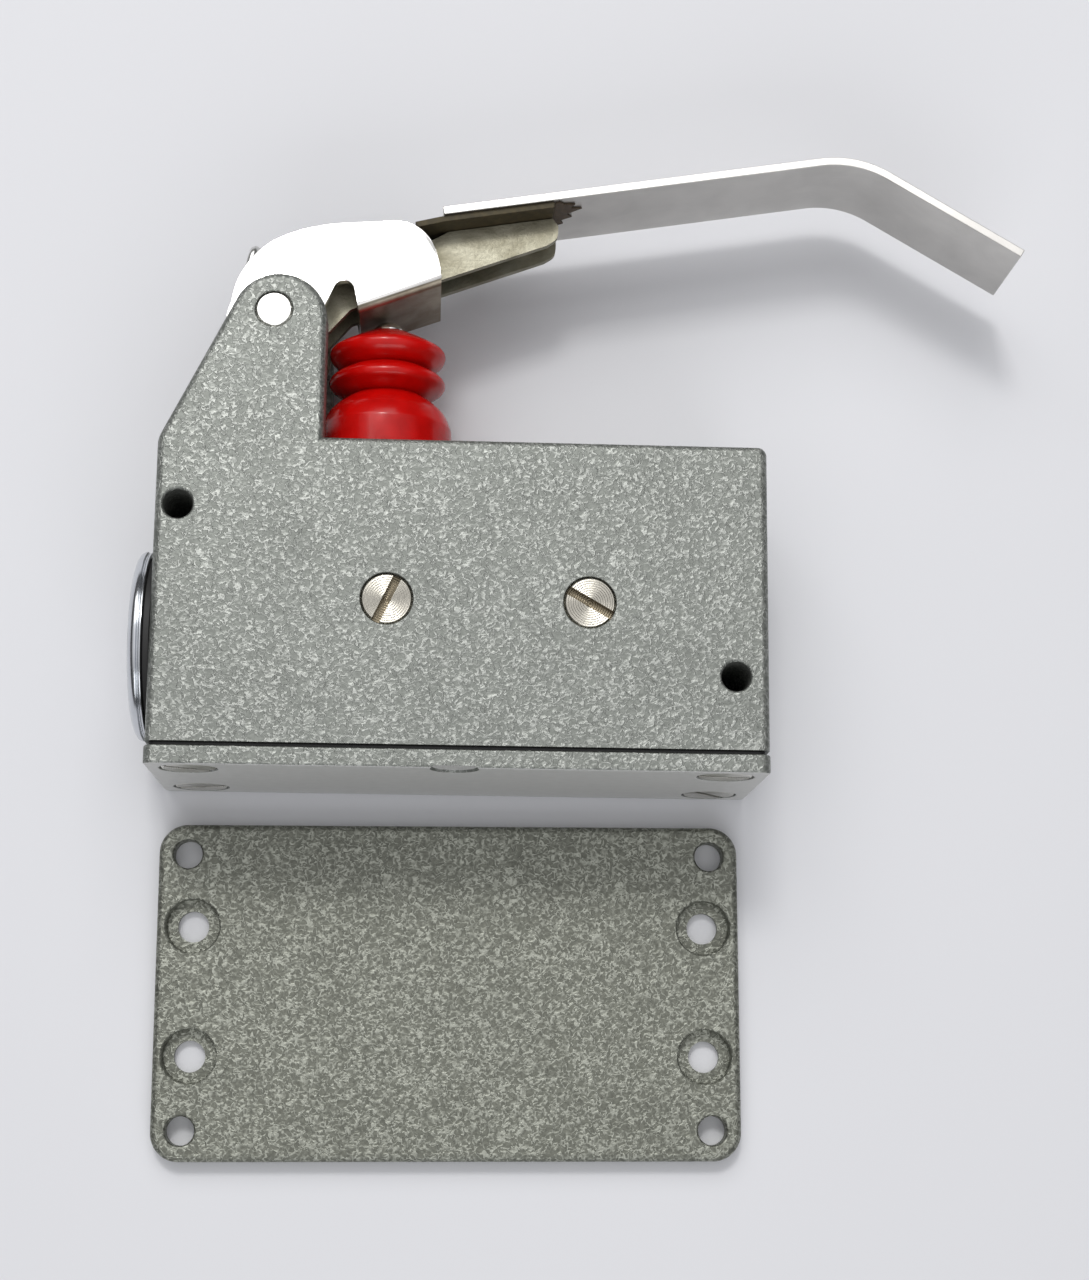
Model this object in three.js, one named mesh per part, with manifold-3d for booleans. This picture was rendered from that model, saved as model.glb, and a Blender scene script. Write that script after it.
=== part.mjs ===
// A lever-and-leaf limit switch: a die-cast housing lying on its rear side face, a base cover, a
// hinged lever with a long bent leaf, a rubber bellows over the plunger, the snap-action switch
// inside, and the loose base mounting plate that comes with it. Millimetres. +X runs along the
// housing, +Y towards the lever, +Z up, and z = 0 is the rear side face and the surface under it.
import * as THREE from 'three';
import { mergeVertices } from 'three/addons/utils/BufferGeometryUtils.js';
import Module from 'manifold-3d';

const wasm = await Module();
wasm.setup();

// ---- Driving dimensions ----
const HOUSING = { length: 77.2, height: 39.2, thickness: 25.4, edge: 1.1, corner: 1.2, wall: 2.7 };
const HALF_LENGTH = HOUSING.length / 2;
const HALF_HEIGHT = HOUSING.height / 2;
const MID_Z = HOUSING.thickness / 2;
const EAR = { x: -23.9, y: 35.2, radius: 6.1, shoulderY: 19.0, gap: 16.0, backWebTop: 27.6 };
const PIVOT = { x: -24.55, y: 36.26, radius: 2.35 };
const PLUNGER = { x: -10.2, radius: 2.9, neckRadius: 2.1, tipRadius: 2.4, tipCentreY: 36.8 };
const MOUNT_HOLES = [{ x: -35.7, y: 10.35 }, { x: 34.4, y: -10.35 }];
const MOUNT_HOLE_RADIUS = 1.85;
const SIDE_SCREWS = { pitch: 25.4, x: 3.33, y: -1.28, headRadius: 3.25, shankRadius: 1.95 };
const COVER_SCREWS = { pitchX: 66.9, pitchZ: 16.7, headRadius: 3.45, shankRadius: 1.45 };
const COVER = { thickness: 2.4, proud: 0.1, gasket: 0.44, gap: 0.03 };
const ENTRY = { y: -5.5, radius: 9.05, flangeRadius: 12.2, wallX: -33.5 };
const PLATE = { length: 76.2, width: 43.3, thickness: 3.0, corner: 3.7, edge: 0.9 };
const PLATE_PLACE = { x: -0.54, y: -48.57, turn: 0.0087 };
const PLATE_CORNER_HOLES = { pitchX: 68.6, pitchY: 35.5, radius: 1.87 };
const PLATE_SCREW_HOLES = { radius: 2.03, boreRadius: 3.5, boreDepth: 1.8 };
const CASE = { length: 49.2, height: 24.2, depth: 17.45, top: 8.9, wall: 1.6, columnRadius: 3.5 };
const HEAD = { width: 15.4, sheet: 1.2, lobe: 7.0, webSlope: 20.6, webDrop: 2.0 };
const ARM = { width: 6.8, sheet: 1.0, lobe: 5.2, tipX: 12.2 };
const LEAF = { width: 14.8, sheet: 1.1, slope: 9.5, bend: 40.0, bendRadius: 14.0 };

const group = new THREE.Group();

// ---- Finishes ----
const finishes = {
  hammered: { color: 0x8d938a, roughness: 0.5, metalness: 0.35 },
  nickel: { color: 0xd9d8d2, roughness: 0.22, metalness: 1.0 },
  roughNickel: { color: 0xa9a68c, roughness: 0.45, metalness: 1.0 },
  aluminium: { color: 0xcfcfcf, roughness: 0.4, metalness: 1.0 },
  steel: { color: 0xb8b8b6, roughness: 0.35, metalness: 1.0 },
  chrome: { color: 0xc4c8cc, roughness: 0.12, metalness: 1.0 },
  brass: { color: 0xc9a85a, roughness: 0.3, metalness: 1.0 },
  silver: { color: 0xe4e4e0, roughness: 0.25, metalness: 1.0 },
  redRubber: { color: 0xb5121b, roughness: 0.35, metalness: 0.0 },
  blackRubber: { color: 0x1b1b1b, roughness: 0.7, metalness: 0.0 },
  phenolic: { color: 0x2a211c, roughness: 0.5, metalness: 0.0 },
  sheetFibre: { color: 0x8b8f8a, roughness: 0.8, metalness: 0.0 },
};

function addPart(name, geometry, finish) {
  const mesh = new THREE.Mesh(geometry, new THREE.MeshStandardMaterial(finishes[finish]));
  mesh.name = name;
  group.add(mesh);
  return mesh;
}

// ---- Solids ----
function toSolid(geometry) {
  const bare = geometry.clone();
  bare.deleteAttribute('normal');
  bare.deleteAttribute('uv');
  const merged = mergeVertices(bare, 1e-4);
  const vertProperties = new Float32Array(merged.attributes.position.array);
  const triVerts = new Uint32Array(merged.index.array);
  return new wasm.Manifold(new wasm.Mesh({ numProp: 3, vertProperties, triVerts }));
}

function toGeometry(solid) {
  const mesh = solid.getMesh();
  const geometry = new THREE.BufferGeometry();
  geometry.setAttribute('position', new THREE.BufferAttribute(mesh.vertProperties, 3));
  geometry.setIndex(new THREE.BufferAttribute(mesh.triVerts, 1));
  return geometry;
}

function join(geometries) {
  const solids = geometries.map(toSolid);
  return toGeometry(solids.reduce((whole, next) => whole.add(next)));
}

function cut(geometry, tools) {
  const solids = tools.map(toSolid);
  return toGeometry(solids.reduce((rest, tool) => rest.subtract(tool), toSolid(geometry)));
}

function box(x0, x1, y0, y1, z0, z1) {
  const geometry = new THREE.BoxGeometry(x1 - x0, y1 - y0, z1 - z0);
  return geometry.translate((x0 + x1) / 2, (y0 + y1) / 2, (z0 + z1) / 2);
}

// A rod or cone along one axis, from `from` to `to`; the other two coordinates come in X, Y, Z order.
function rod(axis, a, b, from, to, startRadius, endRadius = startRadius, sides = 16) {
  const geometry = new THREE.CylinderGeometry(endRadius, startRadius, to - from, sides);
  geometry.translate(0, (from + to) / 2, 0);
  if (axis === 'x') return geometry.rotateZ(-Math.PI / 2).translate(0, a, b);
  if (axis === 'z') return geometry.rotateX(Math.PI / 2).translate(a, b, 0);
  return geometry.translate(a, 0, b);
}

function slab(shape, z0, z1, curveSegments = 6) {
  const options = { depth: z1 - z0, bevelEnabled: false, curveSegments };
  return new THREE.ExtrudeGeometry(shape, options).translate(0, 0, z0);
}

// A slab whose outline edges are rounded over on both faces.
function softSlab(shape, z0, z1, edge, curveSegments = 5) {
  const options = {
    depth: z1 - z0 - 2 * edge,
    bevelEnabled: true,
    bevelThickness: edge,
    bevelSize: edge,
    bevelOffset: -edge,
    bevelSegments: 2,
    curveSegments,
  };
  return new THREE.ExtrudeGeometry(shape, options).translate(0, 0, z0 + edge);
}

// Turns an outline drawn in X and Z into a plate lying between two heights of Y.
function layFlat(geometry, y0) {
  return geometry.rotateX(Math.PI / 2).translate(0, y0, 0);
}

function roundedRectangle(x0, x1, y0, y1, r) {
  const shape = new THREE.Shape();
  shape.moveTo(x0 + r, y0);
  shape.lineTo(x1 - r, y0);
  shape.absarc(x1 - r, y0 + r, r, -Math.PI / 2, 0, false);
  shape.lineTo(x1, y1 - r);
  shape.absarc(x1 - r, y1 - r, r, 0, Math.PI / 2, false);
  shape.lineTo(x0 + r, y1);
  shape.absarc(x0 + r, y1 - r, r, Math.PI / 2, Math.PI, false);
  shape.lineTo(x0, y0 + r);
  shape.absarc(x0 + r, y0 + r, r, Math.PI, 1.5 * Math.PI, false);
  return shape;
}

function polygon(points) {
  return new THREE.Shape(points.map(([x, y]) => new THREE.Vector2(x, y)));
}

// A revolved body standing along Y at the plunger's axis; the profile is [radius, y] pairs.
function turned(profile, sides = 20) {
  const points = profile.map(([r, y]) => new THREE.Vector2(r, y));
  return new THREE.LatheGeometry(points, sides).translate(PLUNGER.x, 0, MID_Z);
}

function tube(curve, radius, steps, sides = 8) {
  const section = new THREE.Shape();
  for (let i = 0; i < sides; i += 1) {
    const angle = (2 * Math.PI * i) / sides;
    const x = radius * Math.cos(angle);
    const y = radius * Math.sin(angle);
    if (i === 0) section.moveTo(x, y);
    else section.lineTo(x, y);
  }
  section.closePath();
  return new THREE.ExtrudeGeometry(section, { steps, bevelEnabled: false, extrudePath: curve });
}

class Helix extends THREE.Curve {
  constructor(radius, y0, y1, turns) {
    super();
    Object.assign(this, { radius, y0, y1, turns });
  }

  getPoint(t, target = new THREE.Vector3()) {
    const angle = 2 * Math.PI * this.turns * t;
    const x = PLUNGER.x + this.radius * Math.cos(angle);
    const z = MID_Z + this.radius * Math.sin(angle);
    return target.set(x, this.y0 + (this.y1 - this.y0) * t, z);
  }
}

// A slotted screw standing along +Z with the top of its head at z = 0.
function slottedScrew(size) {
  const { headRadius, headHeight, seatRadius, shankRadius, length, slotWidth, slotDepth } = size;
  const chamfer = 0.25;
  const profile = [
    [0, -length],
    [shankRadius - 0.3, -length],
    [shankRadius, -length + 0.4],
    [shankRadius, -headHeight],
    [seatRadius, -headHeight],
    [headRadius, -chamfer - (seatRadius < headRadius ? 0.1 : 0)],
    [headRadius - chamfer, 0],
    [0, 0],
  ];
  const points = profile.map(([r, y]) => new THREE.Vector2(r, y));
  const body = new THREE.LatheGeometry(points, 16).rotateX(Math.PI / 2);
  const slot = box(-headRadius - 1, headRadius + 1, -slotWidth / 2, slotWidth / 2, -slotDepth, 1);
  return cut(body, [slot]);
}

// ---- Housing ----
function housingOutline() {
  const shape = new THREE.Shape();
  const below = -HALF_HEIGHT - 4;
  const reachX = EAR.x + HALF_LENGTH;
  const reachY = EAR.y - EAR.shoulderY;
  const reach = Math.hypot(reachX, reachY);
  const tangent = Math.atan2(reachY, reachX) + Math.asin(EAR.radius / reach);
  shape.moveTo(-HALF_LENGTH, below);
  shape.lineTo(HALF_LENGTH, below);
  shape.lineTo(HALF_LENGTH, HALF_HEIGHT - HOUSING.corner);
  const cornerX = HALF_LENGTH - HOUSING.corner;
  shape.absarc(cornerX, HALF_HEIGHT - HOUSING.corner, HOUSING.corner, 0, Math.PI / 2, false);
  shape.lineTo(EAR.x + EAR.radius, HALF_HEIGHT);
  shape.lineTo(EAR.x + EAR.radius, EAR.y);
  shape.absarc(EAR.x, EAR.y, EAR.radius, 0, tangent + Math.PI / 2, false);
  const softening = 1.6;
  shape.lineTo(
    -HALF_LENGTH + softening * Math.cos(tangent),
    EAR.shoulderY + softening * Math.sin(tangent),
  );
  shape.quadraticCurveTo(-HALF_LENGTH, EAR.shoulderY, -HALF_LENGTH, EAR.shoulderY - softening);
  return shape;
}

function chamferedHole(x, y, radius, top) {
  const lip = 0.35;
  return [
    rod('z', x, y, -1, top + 1, radius),
    rod('z', x, y, -0.5, lip, radius + lip + 0.5, radius),
    rod('z', x, y, top - lip, top + 0.5, radius, radius + lip + 0.5),
  ];
}

const sideScrewX = [-1, 1].map((side) => SIDE_SCREWS.x + (side * SIDE_SCREWS.pitch) / 2);
const coverScrewPlaces = [];
for (const sideX of [-1, 1]) {
  for (const sideZ of [1, -1]) {
    const z = MID_Z + (sideZ * COVER_SCREWS.pitchZ) / 2;
    coverScrewPlaces.push({ x: (sideX * COVER_SCREWS.pitchX) / 2, z });
  }
}
const cavityZ = [HOUSING.wall, HOUSING.thickness - HOUSING.wall];
const middleZ = [7.6, 17.8];
const ceiling = HALF_HEIGHT - 3.0;
const headSeat = { radius: SIDE_SCREWS.headRadius + 0.12, depth: 1.7 };
const bushRadius = 5.0;
const earthScrewX = 28.0;
const bushHoleRadius = bushRadius + 0.15;

function housing() {
  const top = HOUSING.thickness;
  const below = -HALF_HEIGHT - 0.1;
  const gapZ = [MID_Z - EAR.gap / 2, MID_Z + EAR.gap / 2];
  const earGap = polygon([
    [-14, HALF_HEIGHT],
    [-27.5, HALF_HEIGHT],
    [-31.2, EAR.backWebTop],
    [-50, EAR.backWebTop],
    [-50, 50],
    [-14, 50],
  ]);
  const tools = [
    box(-50, 50, -50, -HALF_HEIGHT, -5, top + 5),
    slab(earGap, ...gapZ),
    box(-30.2, 30.2, below, ceiling, ...cavityZ),
    box(ENTRY.wallX, -30.1, -8, 6.5, ...cavityZ),
    box(ENTRY.wallX, -30.1, below, -7.9, ...middleZ),
    box(-32.2, -30.1, 6.4, ceiling, ...cavityZ),
    box(30.1, 35.3, -6, ceiling, ...cavityZ),
    rod('y', PLUNGER.x, MID_Z, ceiling - 0.5, HALF_HEIGHT + 0.5, bushHoleRadius),
    rod('x', ENTRY.y, MID_Z, -HALF_LENGTH - 1, ENTRY.wallX + 0.5, ENTRY.radius, ENTRY.radius, 28),
    rod('z', PIVOT.x, PIVOT.y, -1, top + 1, PIVOT.radius + 0.08),
    rod('y', earthScrewX, MID_Z, ceiling - 0.5, ceiling + 2.2, 1.6),
  ];
  for (const hole of MOUNT_HOLES) {
    tools.push(...chamferedHole(hole.x, hole.y, MOUNT_HOLE_RADIUS, top));
  }
  for (const x of sideScrewX) {
    tools.push(rod('z', x, SIDE_SCREWS.y, 0.9, top, SIDE_SCREWS.shankRadius + 0.1));
    tools.push(rod('z', x, SIDE_SCREWS.y, top - headSeat.depth, top + 1, headSeat.radius));
  }
  for (const { x, z } of coverScrewPlaces) {
    tools.push(rod('y', x, z, below, -12.8, COVER_SCREWS.shankRadius + 0.15));
  }
  const body = softSlab(housingOutline(), 0, top, HOUSING.edge, 7);
  return cut(body, tools);
}

addPart('housing', housing(), 'hammered');

// ---- Base cover, gasket and their screws ----
const gasketTop = -HALF_HEIGHT - COVER.gap;
const coverTop = gasketTop - COVER.gasket - COVER.gap;
const coverBottom = coverTop - COVER.thickness;

function gasket() {
  const inset = 0.5;
  const reachX = HALF_LENGTH - inset;
  const front = HOUSING.thickness - inset;
  const shape = roundedRectangle(-reachX, reachX, inset, front, 1.0);
  const sheet = layFlat(slab(shape, 0, COVER.gasket), gasketTop);
  const tools = [box(-30.2, 30.2, coverTop - 1, gasketTop + 1, ...cavityZ)];
  for (const { x, z } of coverScrewPlaces) {
    tools.push(rod('y', x, z, coverTop - 1, gasketTop + 1, COVER_SCREWS.shankRadius + 0.3));
  }
  return cut(sheet, tools);
}

addPart('cover_gasket', gasket(), 'blackRubber');

function baseCover() {
  const reachX = HALF_LENGTH + COVER.proud;
  const shape = roundedRectangle(-reachX, reachX, 0, HOUSING.thickness + COVER.proud, 1.3);
  const sheet = layFlat(slab(shape, 0, COVER.thickness, 6), coverTop);
  const tools = [rod('y', -0.54, 24.6, coverBottom - 1, coverBottom + 0.4, 3.0)];
  for (const { x, z } of coverScrewPlaces) {
    const seat = COVER_SCREWS.headRadius + 0.12;
    const rim = coverBottom + 0.45;
    tools.push(rod('y', x, z, coverBottom - 1, coverTop + 1, COVER_SCREWS.shankRadius + 0.15));
    tools.push(rod('y', x, z, rim - 0.01, rim + 1.3, seat, COVER_SCREWS.shankRadius + 0.22));
    tools.push(rod('y', x, z, coverBottom - 1, rim, seat));
  }
  return cut(sheet, tools);
}

addPart('base_cover', baseCover(), 'hammered');

const coverScrewSlots = [0.55, -0.35, 0.15, 0.9];
coverScrewPlaces.forEach(({ x, z }, index) => {
  const size = {
    headRadius: COVER_SCREWS.headRadius,
    headHeight: 1.6,
    seatRadius: COVER_SCREWS.shankRadius + 0.1,
    shankRadius: COVER_SCREWS.shankRadius,
    length: 9.0,
    slotWidth: 0.9,
    slotDepth: 0.8,
  };
  const screw = slottedScrew(size).rotateZ(coverScrewSlots[index]);
  const mesh = addPart(`cover_screw_${index + 1}`, screw, 'steel');
  mesh.rotation.x = Math.PI / 2;
  mesh.position.set(x, coverBottom + 0.05, z);
});

// ---- Side screws that hold the snap switch, flush in the front face ----
const sideScrewSlots = [1.13, -0.52];
sideScrewX.forEach((x, index) => {
  const size = {
    headRadius: SIDE_SCREWS.headRadius,
    headHeight: 1.55,
    seatRadius: SIDE_SCREWS.headRadius,
    shankRadius: SIDE_SCREWS.shankRadius,
    length: 24.1,
    slotWidth: 1.1,
    slotDepth: 0.95,
  };
  const screw = slottedScrew(size).rotateZ(sideScrewSlots[index]);
  const mesh = addPart(`side_screw_${['left', 'right'][index]}`, screw, 'nickel');
  mesh.position.set(x, SIDE_SCREWS.y, HOUSING.thickness - 0.1);
});

// ---- Loose mounting plate, lying beside the switch ----
function mountingPlate() {
  const halfX = PLATE.length / 2;
  const halfY = PLATE.width / 2;
  const outline = roundedRectangle(-halfX, halfX, -halfY, halfY, PLATE.corner);
  const body = softSlab(outline, 0, PLATE.thickness, PLATE.edge);
  const tools = [];
  for (const sideX of [-1, 1]) {
    for (const sideY of [-1, 1]) {
      const cornerX = (sideX * PLATE_CORNER_HOLES.pitchX) / 2;
      const cornerY = (sideY * PLATE_CORNER_HOLES.pitchY) / 2;
      tools.push(rod('z', cornerX, cornerY, -1, 5, PLATE_CORNER_HOLES.radius));
      const x = (sideX * COVER_SCREWS.pitchX) / 2;
      const y = (sideY * COVER_SCREWS.pitchZ) / 2;
      const seat = PLATE.thickness - PLATE_SCREW_HOLES.boreDepth;
      tools.push(rod('z', x, y, -1, 5, PLATE_SCREW_HOLES.radius));
      tools.push(rod('z', x, y, seat, 5, PLATE_SCREW_HOLES.boreRadius));
    }
  }
  return cut(body, tools);
}

const plate = addPart('mounting_plate', mountingPlate(), 'hammered');
plate.position.set(PLATE_PLACE.x, PLATE_PLACE.y, 0);
plate.rotation.z = PLATE_PLACE.turn;

// ---- Cable entry, closed by a blanking plug with a rubber washer ----
function turnedAlongX(profile, sides = 28) {
  const points = profile.map(([r, x]) => new THREE.Vector2(r, x));
  return new THREE.LatheGeometry(points, sides).rotateZ(-Math.PI / 2).translate(0, ENTRY.y, MID_Z);
}

const washerFace = -HALF_LENGTH - 0.05;
const flangeBack = washerFace - 0.9;
const flangeFront = flangeBack - 1.9;

function entryPlug() {
  const body = turnedAlongX([
    [0, flangeFront],
    [11.4, flangeFront],
    [ENTRY.flangeRadius, flangeFront + 0.8],
    [ENTRY.flangeRadius, flangeBack - 0.35],
    [ENTRY.flangeRadius - 0.35, flangeBack],
    [8.9, flangeBack],
    [8.9, ENTRY.wallX - 0.1],
    [6.9, ENTRY.wallX - 0.1],
    [6.9, flangeBack + 0.6],
    [0, flangeBack + 0.6],
  ]);
  const slot = box(flangeFront - 1, flangeFront + 1.0, ENTRY.y - 1.0, ENTRY.y + 1.0, 5.2, 20.2);
  return cut(body, [slot]);
}

addPart('entry_plug', entryPlug(), 'chrome');

const washer = [
  [9.0, flangeBack + 0.03],
  [11.5, flangeBack + 0.03],
  [11.5, washerFace],
  [9.0, washerFace],
  [9.0, flangeBack + 0.03],
];
addPart('entry_washer', turnedAlongX(washer), 'blackRubber');

// ---- Pivot pin ----
const pin = rod('z', PIVOT.x, PIVOT.y, 0.1, HOUSING.thickness - 0.1, PIVOT.radius);
addPart('pivot_pin', pin, 'nickel');

// ---- Lever head: an outer channel, open upwards, around the pivot ----
const webAngle = THREE.MathUtils.degToRad(HEAD.webSlope);
const headZ = [MID_Z - HEAD.width / 2, MID_Z + HEAD.width / 2];

// Height of the head's underside plane at x, and of lines parallel to it.
function undersideY(x, lift = 0) {
  const drop = (HEAD.webDrop - lift) / Math.cos(webAngle);
  return PIVOT.y + (x - PIVOT.x) * Math.tan(webAngle) - drop;
}

const headEndX = -3.3;
const webStartX = -13.9;

function headSideOutline() {
  const shape = new THREE.Shape();
  shape.moveTo(headEndX, undersideY(headEndX));
  shape.lineTo(-3.5, 44.4);
  shape.bezierCurveTo(-4.0, 47.6, -5.6, 50.6, -9.2, 50.65);
  shape.lineTo(-16.1, 50.15);
  shape.bezierCurveTo(-21.5, 49.7, -25.2, 48.5, -27.2, 46.7);
  shape.bezierCurveTo(-29.6, 44.4, -30.7, 42.0, -31.0, 39.2);
  const start = Math.atan2(39.2 - PIVOT.y, -31.0 - PIVOT.x);
  const finish = 2 * Math.PI + 0.36;
  shape.absarc(PIVOT.x, PIVOT.y, HEAD.lobe, start, finish, false);
  shape.lineTo(-17.4, 41.0);
  shape.bezierCurveTo(-17.1, 42.5, -14.9, 42.7, -14.6, 41.1);
  shape.lineTo(webStartX, undersideY(webStartX));
  return shape;
}

function leverHead() {
  const side = headSideOutline();
  const floor = polygon([
    [webStartX, undersideY(webStartX)],
    [headEndX, undersideY(headEndX)],
    [headEndX, undersideY(headEndX, HEAD.sheet)],
    [webStartX - 0.35, undersideY(webStartX - 0.35, HEAD.sheet)],
  ]);
  const body = join([
    slab(side, headZ[0], headZ[0] + HEAD.sheet),
    slab(side, headZ[1] - HEAD.sheet, headZ[1]),
    slab(floor, headZ[0] + 0.3, headZ[1] - 0.3),
  ]);
  return cut(body, [rod('z', PIVOT.x, PIVOT.y, -1, 30, PIVOT.radius + 0.08)]);
}

addPart('lever_head', leverHead(), 'nickel');

// ---- Lever arm: a narrow channel, open downwards, pinned inside the head ----
const leafAngle = THREE.MathUtils.degToRad(LEAF.slope);
const leafStartX = -3.3;
const leafStartTop = 53.0;

// Height of lines parallel to the leaf's top face, `depth` below it.
function belowLeafY(x, depth) {
  return leafStartTop + (x - leafStartX) * Math.tan(leafAngle) - depth / Math.cos(leafAngle);
}

const supportSheet = 0.8;
const armDepth = LEAF.sheet + supportSheet + 0.1;
const armZ = [MID_Z - ARM.width / 2, MID_Z + ARM.width / 2];

// The top line of the arm, and the same line `inset` below it.
function armTop(inset) {
  return [
    [ARM.tipX - 0.8, belowLeafY(ARM.tipX - 0.8, armDepth + inset)],
    [-2.4, belowLeafY(-2.4, armDepth + inset)],
    [-7.3, 48.35 - inset],
    [-19.5, 46.3 - inset],
  ];
}

const rivetPlaces = [1.6, 7.4];
const rivetRadius = 1.2;

// A rod square to the leaf, between two depths below its top face.
function rivetRod(x, radius, depthTop, depthBottom) {
  const depth = (depthTop + depthBottom) / 2;
  const geometry = new THREE.CylinderGeometry(radius, radius, depthBottom - depthTop, 16);
  const middleX = x + depth * Math.sin(leafAngle);
  const middleY = belowLeafY(x, 0) - depth * Math.cos(leafAngle);
  return geometry.rotateZ(leafAngle).translate(middleX, middleY, MID_Z);
}

const rivetHoles = () => rivetPlaces.map((x) => rivetRod(x, rivetRadius + 0.08, -1, 4));

function leverArm() {
  const lift = HEAD.webDrop;
  const top = armTop(0);
  const side = new THREE.Shape();
  side.moveTo(-15.2, undersideY(-15.2, lift));
  side.lineTo(ARM.tipX - 1.6, undersideY(ARM.tipX - 1.6, lift));
  const tipY = belowLeafY(ARM.tipX, armDepth + 1.2);
  side.quadraticCurveTo(ARM.tipX, undersideY(ARM.tipX, lift) + 0.4, ARM.tipX, tipY);
  for (const [x, y] of top) side.lineTo(x, y);
  side.bezierCurveTo(-24, 45.2, -29.0, 41.5, PIVOT.x - ARM.lobe, PIVOT.y);
  side.absarc(PIVOT.x, PIVOT.y, ARM.lobe, Math.PI, 2 * Math.PI - 0.3, false);
  const roof = polygon([...top, ...armTop(ARM.sheet).reverse()]);
  const body = join([
    slab(side, armZ[0], armZ[0] + ARM.sheet),
    slab(side, armZ[1] - ARM.sheet, armZ[1]),
    slab(roof, armZ[0] + 0.2, armZ[1] - 0.2),
  ]);
  const bore = rod('z', PIVOT.x, PIVOT.y, -1, 30, PIVOT.radius + 0.08);
  return cut(body, [bore, ...rivetHoles()]);
}

addPart('lever_arm', leverArm(), 'roughNickel');

// ---- Support plate between the arm and the leaf ----
const leafZ = [MID_Z - LEAF.width / 2, MID_Z + LEAF.width / 2];

function supportPlate() {
  const upper = LEAF.sheet + 0.03;
  const lower = upper + supportSheet;
  const setBack = 0.5;
  const endX = 11.5;
  const outside = polygon([
    [-6.4, 50.25],
    [-2.9, belowLeafY(-2.9, lower)],
    [endX, belowLeafY(endX, lower)],
    [endX, belowLeafY(endX, upper)],
    [-3.2, belowLeafY(-3.2, upper)],
    [-6.9, 50.95],
  ]);
  const inside = polygon([
    [-19.0, 46.65],
    [-7.6, 48.6],
    [-5.6, 50.3],
    [-6.2, 51.0],
    [-8.0, 49.45],
    [-19.0, 47.5],
  ]);
  const body = join([
    slab(outside, leafZ[0] + setBack, leafZ[1] - setBack),
    slab(inside, headZ[0] + HEAD.sheet + 0.25, headZ[1] - HEAD.sheet - 0.25),
  ]);
  return cut(body, rivetHoles());
}

addPart('leaf_support', supportPlate(), 'roughNickel');

function leafRivet(x) {
  const roofBottom = armDepth + ARM.sheet;
  const shank = rivetRod(x, rivetRadius, -0.3, roofBottom + 0.4);
  const crown = rivetRod(x, rivetRadius + 0.9, -0.32, -0.03);
  const tail = rivetRod(x, rivetRadius + 0.6, roofBottom + 0.03, roofBottom + 0.5);
  return join([shank, crown, tail]);
}

rivetPlaces.forEach((x, index) => {
  addPart(`leaf_rivet_${index + 1}`, leafRivet(x), 'aluminium');
});

// ---- Leaf: one strip with a rising run, a soft bend and a falling end ----
function leaf() {
  const end = { x: 74.3, y: 49.2 };
  const fall = THREE.MathUtils.degToRad(LEAF.bend - LEAF.slope);
  const rise = Math.tan(leafAngle);
  const drop = Math.tan(fall);
  const cornerX = (end.y + drop * end.x - leafStartTop + rise * leafStartX) / (rise + drop);
  const cornerY = leafStartTop + rise * (cornerX - leafStartX);
  const back = LEAF.bendRadius * Math.tan((leafAngle + fall) / 2);
  const startX = cornerX - back * Math.cos(leafAngle);
  const startY = cornerY - back * Math.sin(leafAngle);
  const centreX = startX + LEAF.bendRadius * Math.sin(leafAngle);
  const centreY = startY - LEAF.bendRadius * Math.cos(leafAngle);
  const from = Math.PI / 2 + leafAngle;
  const to = Math.PI / 2 - fall;
  const under = LEAF.bendRadius - LEAF.sheet;
  const shape = new THREE.Shape();
  shape.moveTo(leafStartX, leafStartTop);
  shape.absarc(centreX, centreY, LEAF.bendRadius, from, to, true);
  shape.lineTo(end.x, end.y);
  shape.lineTo(end.x - LEAF.sheet * Math.sin(fall), end.y - LEAF.sheet * Math.cos(fall));
  shape.absarc(centreX, centreY, under, to, from, false);
  const backX = leafStartX + LEAF.sheet * Math.sin(leafAngle);
  shape.lineTo(backX, leafStartTop - LEAF.sheet * Math.cos(leafAngle));
  return cut(slab(shape, leafZ[0], leafZ[1]), rivetHoles());
}

addPart('leaf', leaf(), 'aluminium');

// ---- Double torsion spring: feet on the back web, a coil each side, a bow over the lever ----
const wireRadius = 0.6;
const coilRadius = 3.45;

function torsionSpring() {
  const points = [];
  const footAngle = Math.PI * 0.93;
  const turns = 2;
  const pitch = 1.35;
  const outerZ = 18.35;
  const coil = [];
  const steps = 28;
  for (let i = 0; i <= steps; i += 1) {
    const share = i / steps;
    const angle = footAngle + share * (2 * Math.PI * turns - 0.35);
    coil.push([
      PIVOT.x + coilRadius * Math.cos(angle),
      PIVOT.y + coilRadius * Math.sin(angle),
      outerZ - MID_Z - share * pitch * 0.95,
    ]);
  }
  const foot = [[-30.6, 29.2, outerZ - MID_Z], [-29.3, 32.4, outerZ - MID_Z]];
  const leg = [[-28.2, 40.6, 4.35], [-28.6, 44.4, 4.35], [-28.0, 47.4, 3.9]];
  const half = [...foot, ...coil, ...leg];
  for (const [x, y, side] of half) points.push(new THREE.Vector3(x, y, MID_Z + side));
  points.push(new THREE.Vector3(-27.7, 47.9, MID_Z));
  for (const [x, y, side] of half.slice().reverse()) {
    points.push(new THREE.Vector3(x, y, MID_Z - side));
  }
  const curve = new THREE.CatmullRomCurve3(points, false, 'centripetal');
  return tube(curve, wireRadius, 100, 6);
}

addPart('lever_spring', torsionSpring(), 'steel');

// ---- Plunger stack ----
const bushBottom = 14.6;
const collarTop = 21.2;
const clipBottom = 13.75;
const flange = { radius: 4.5, bottom: 34.4, top: 35.0 };

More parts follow.
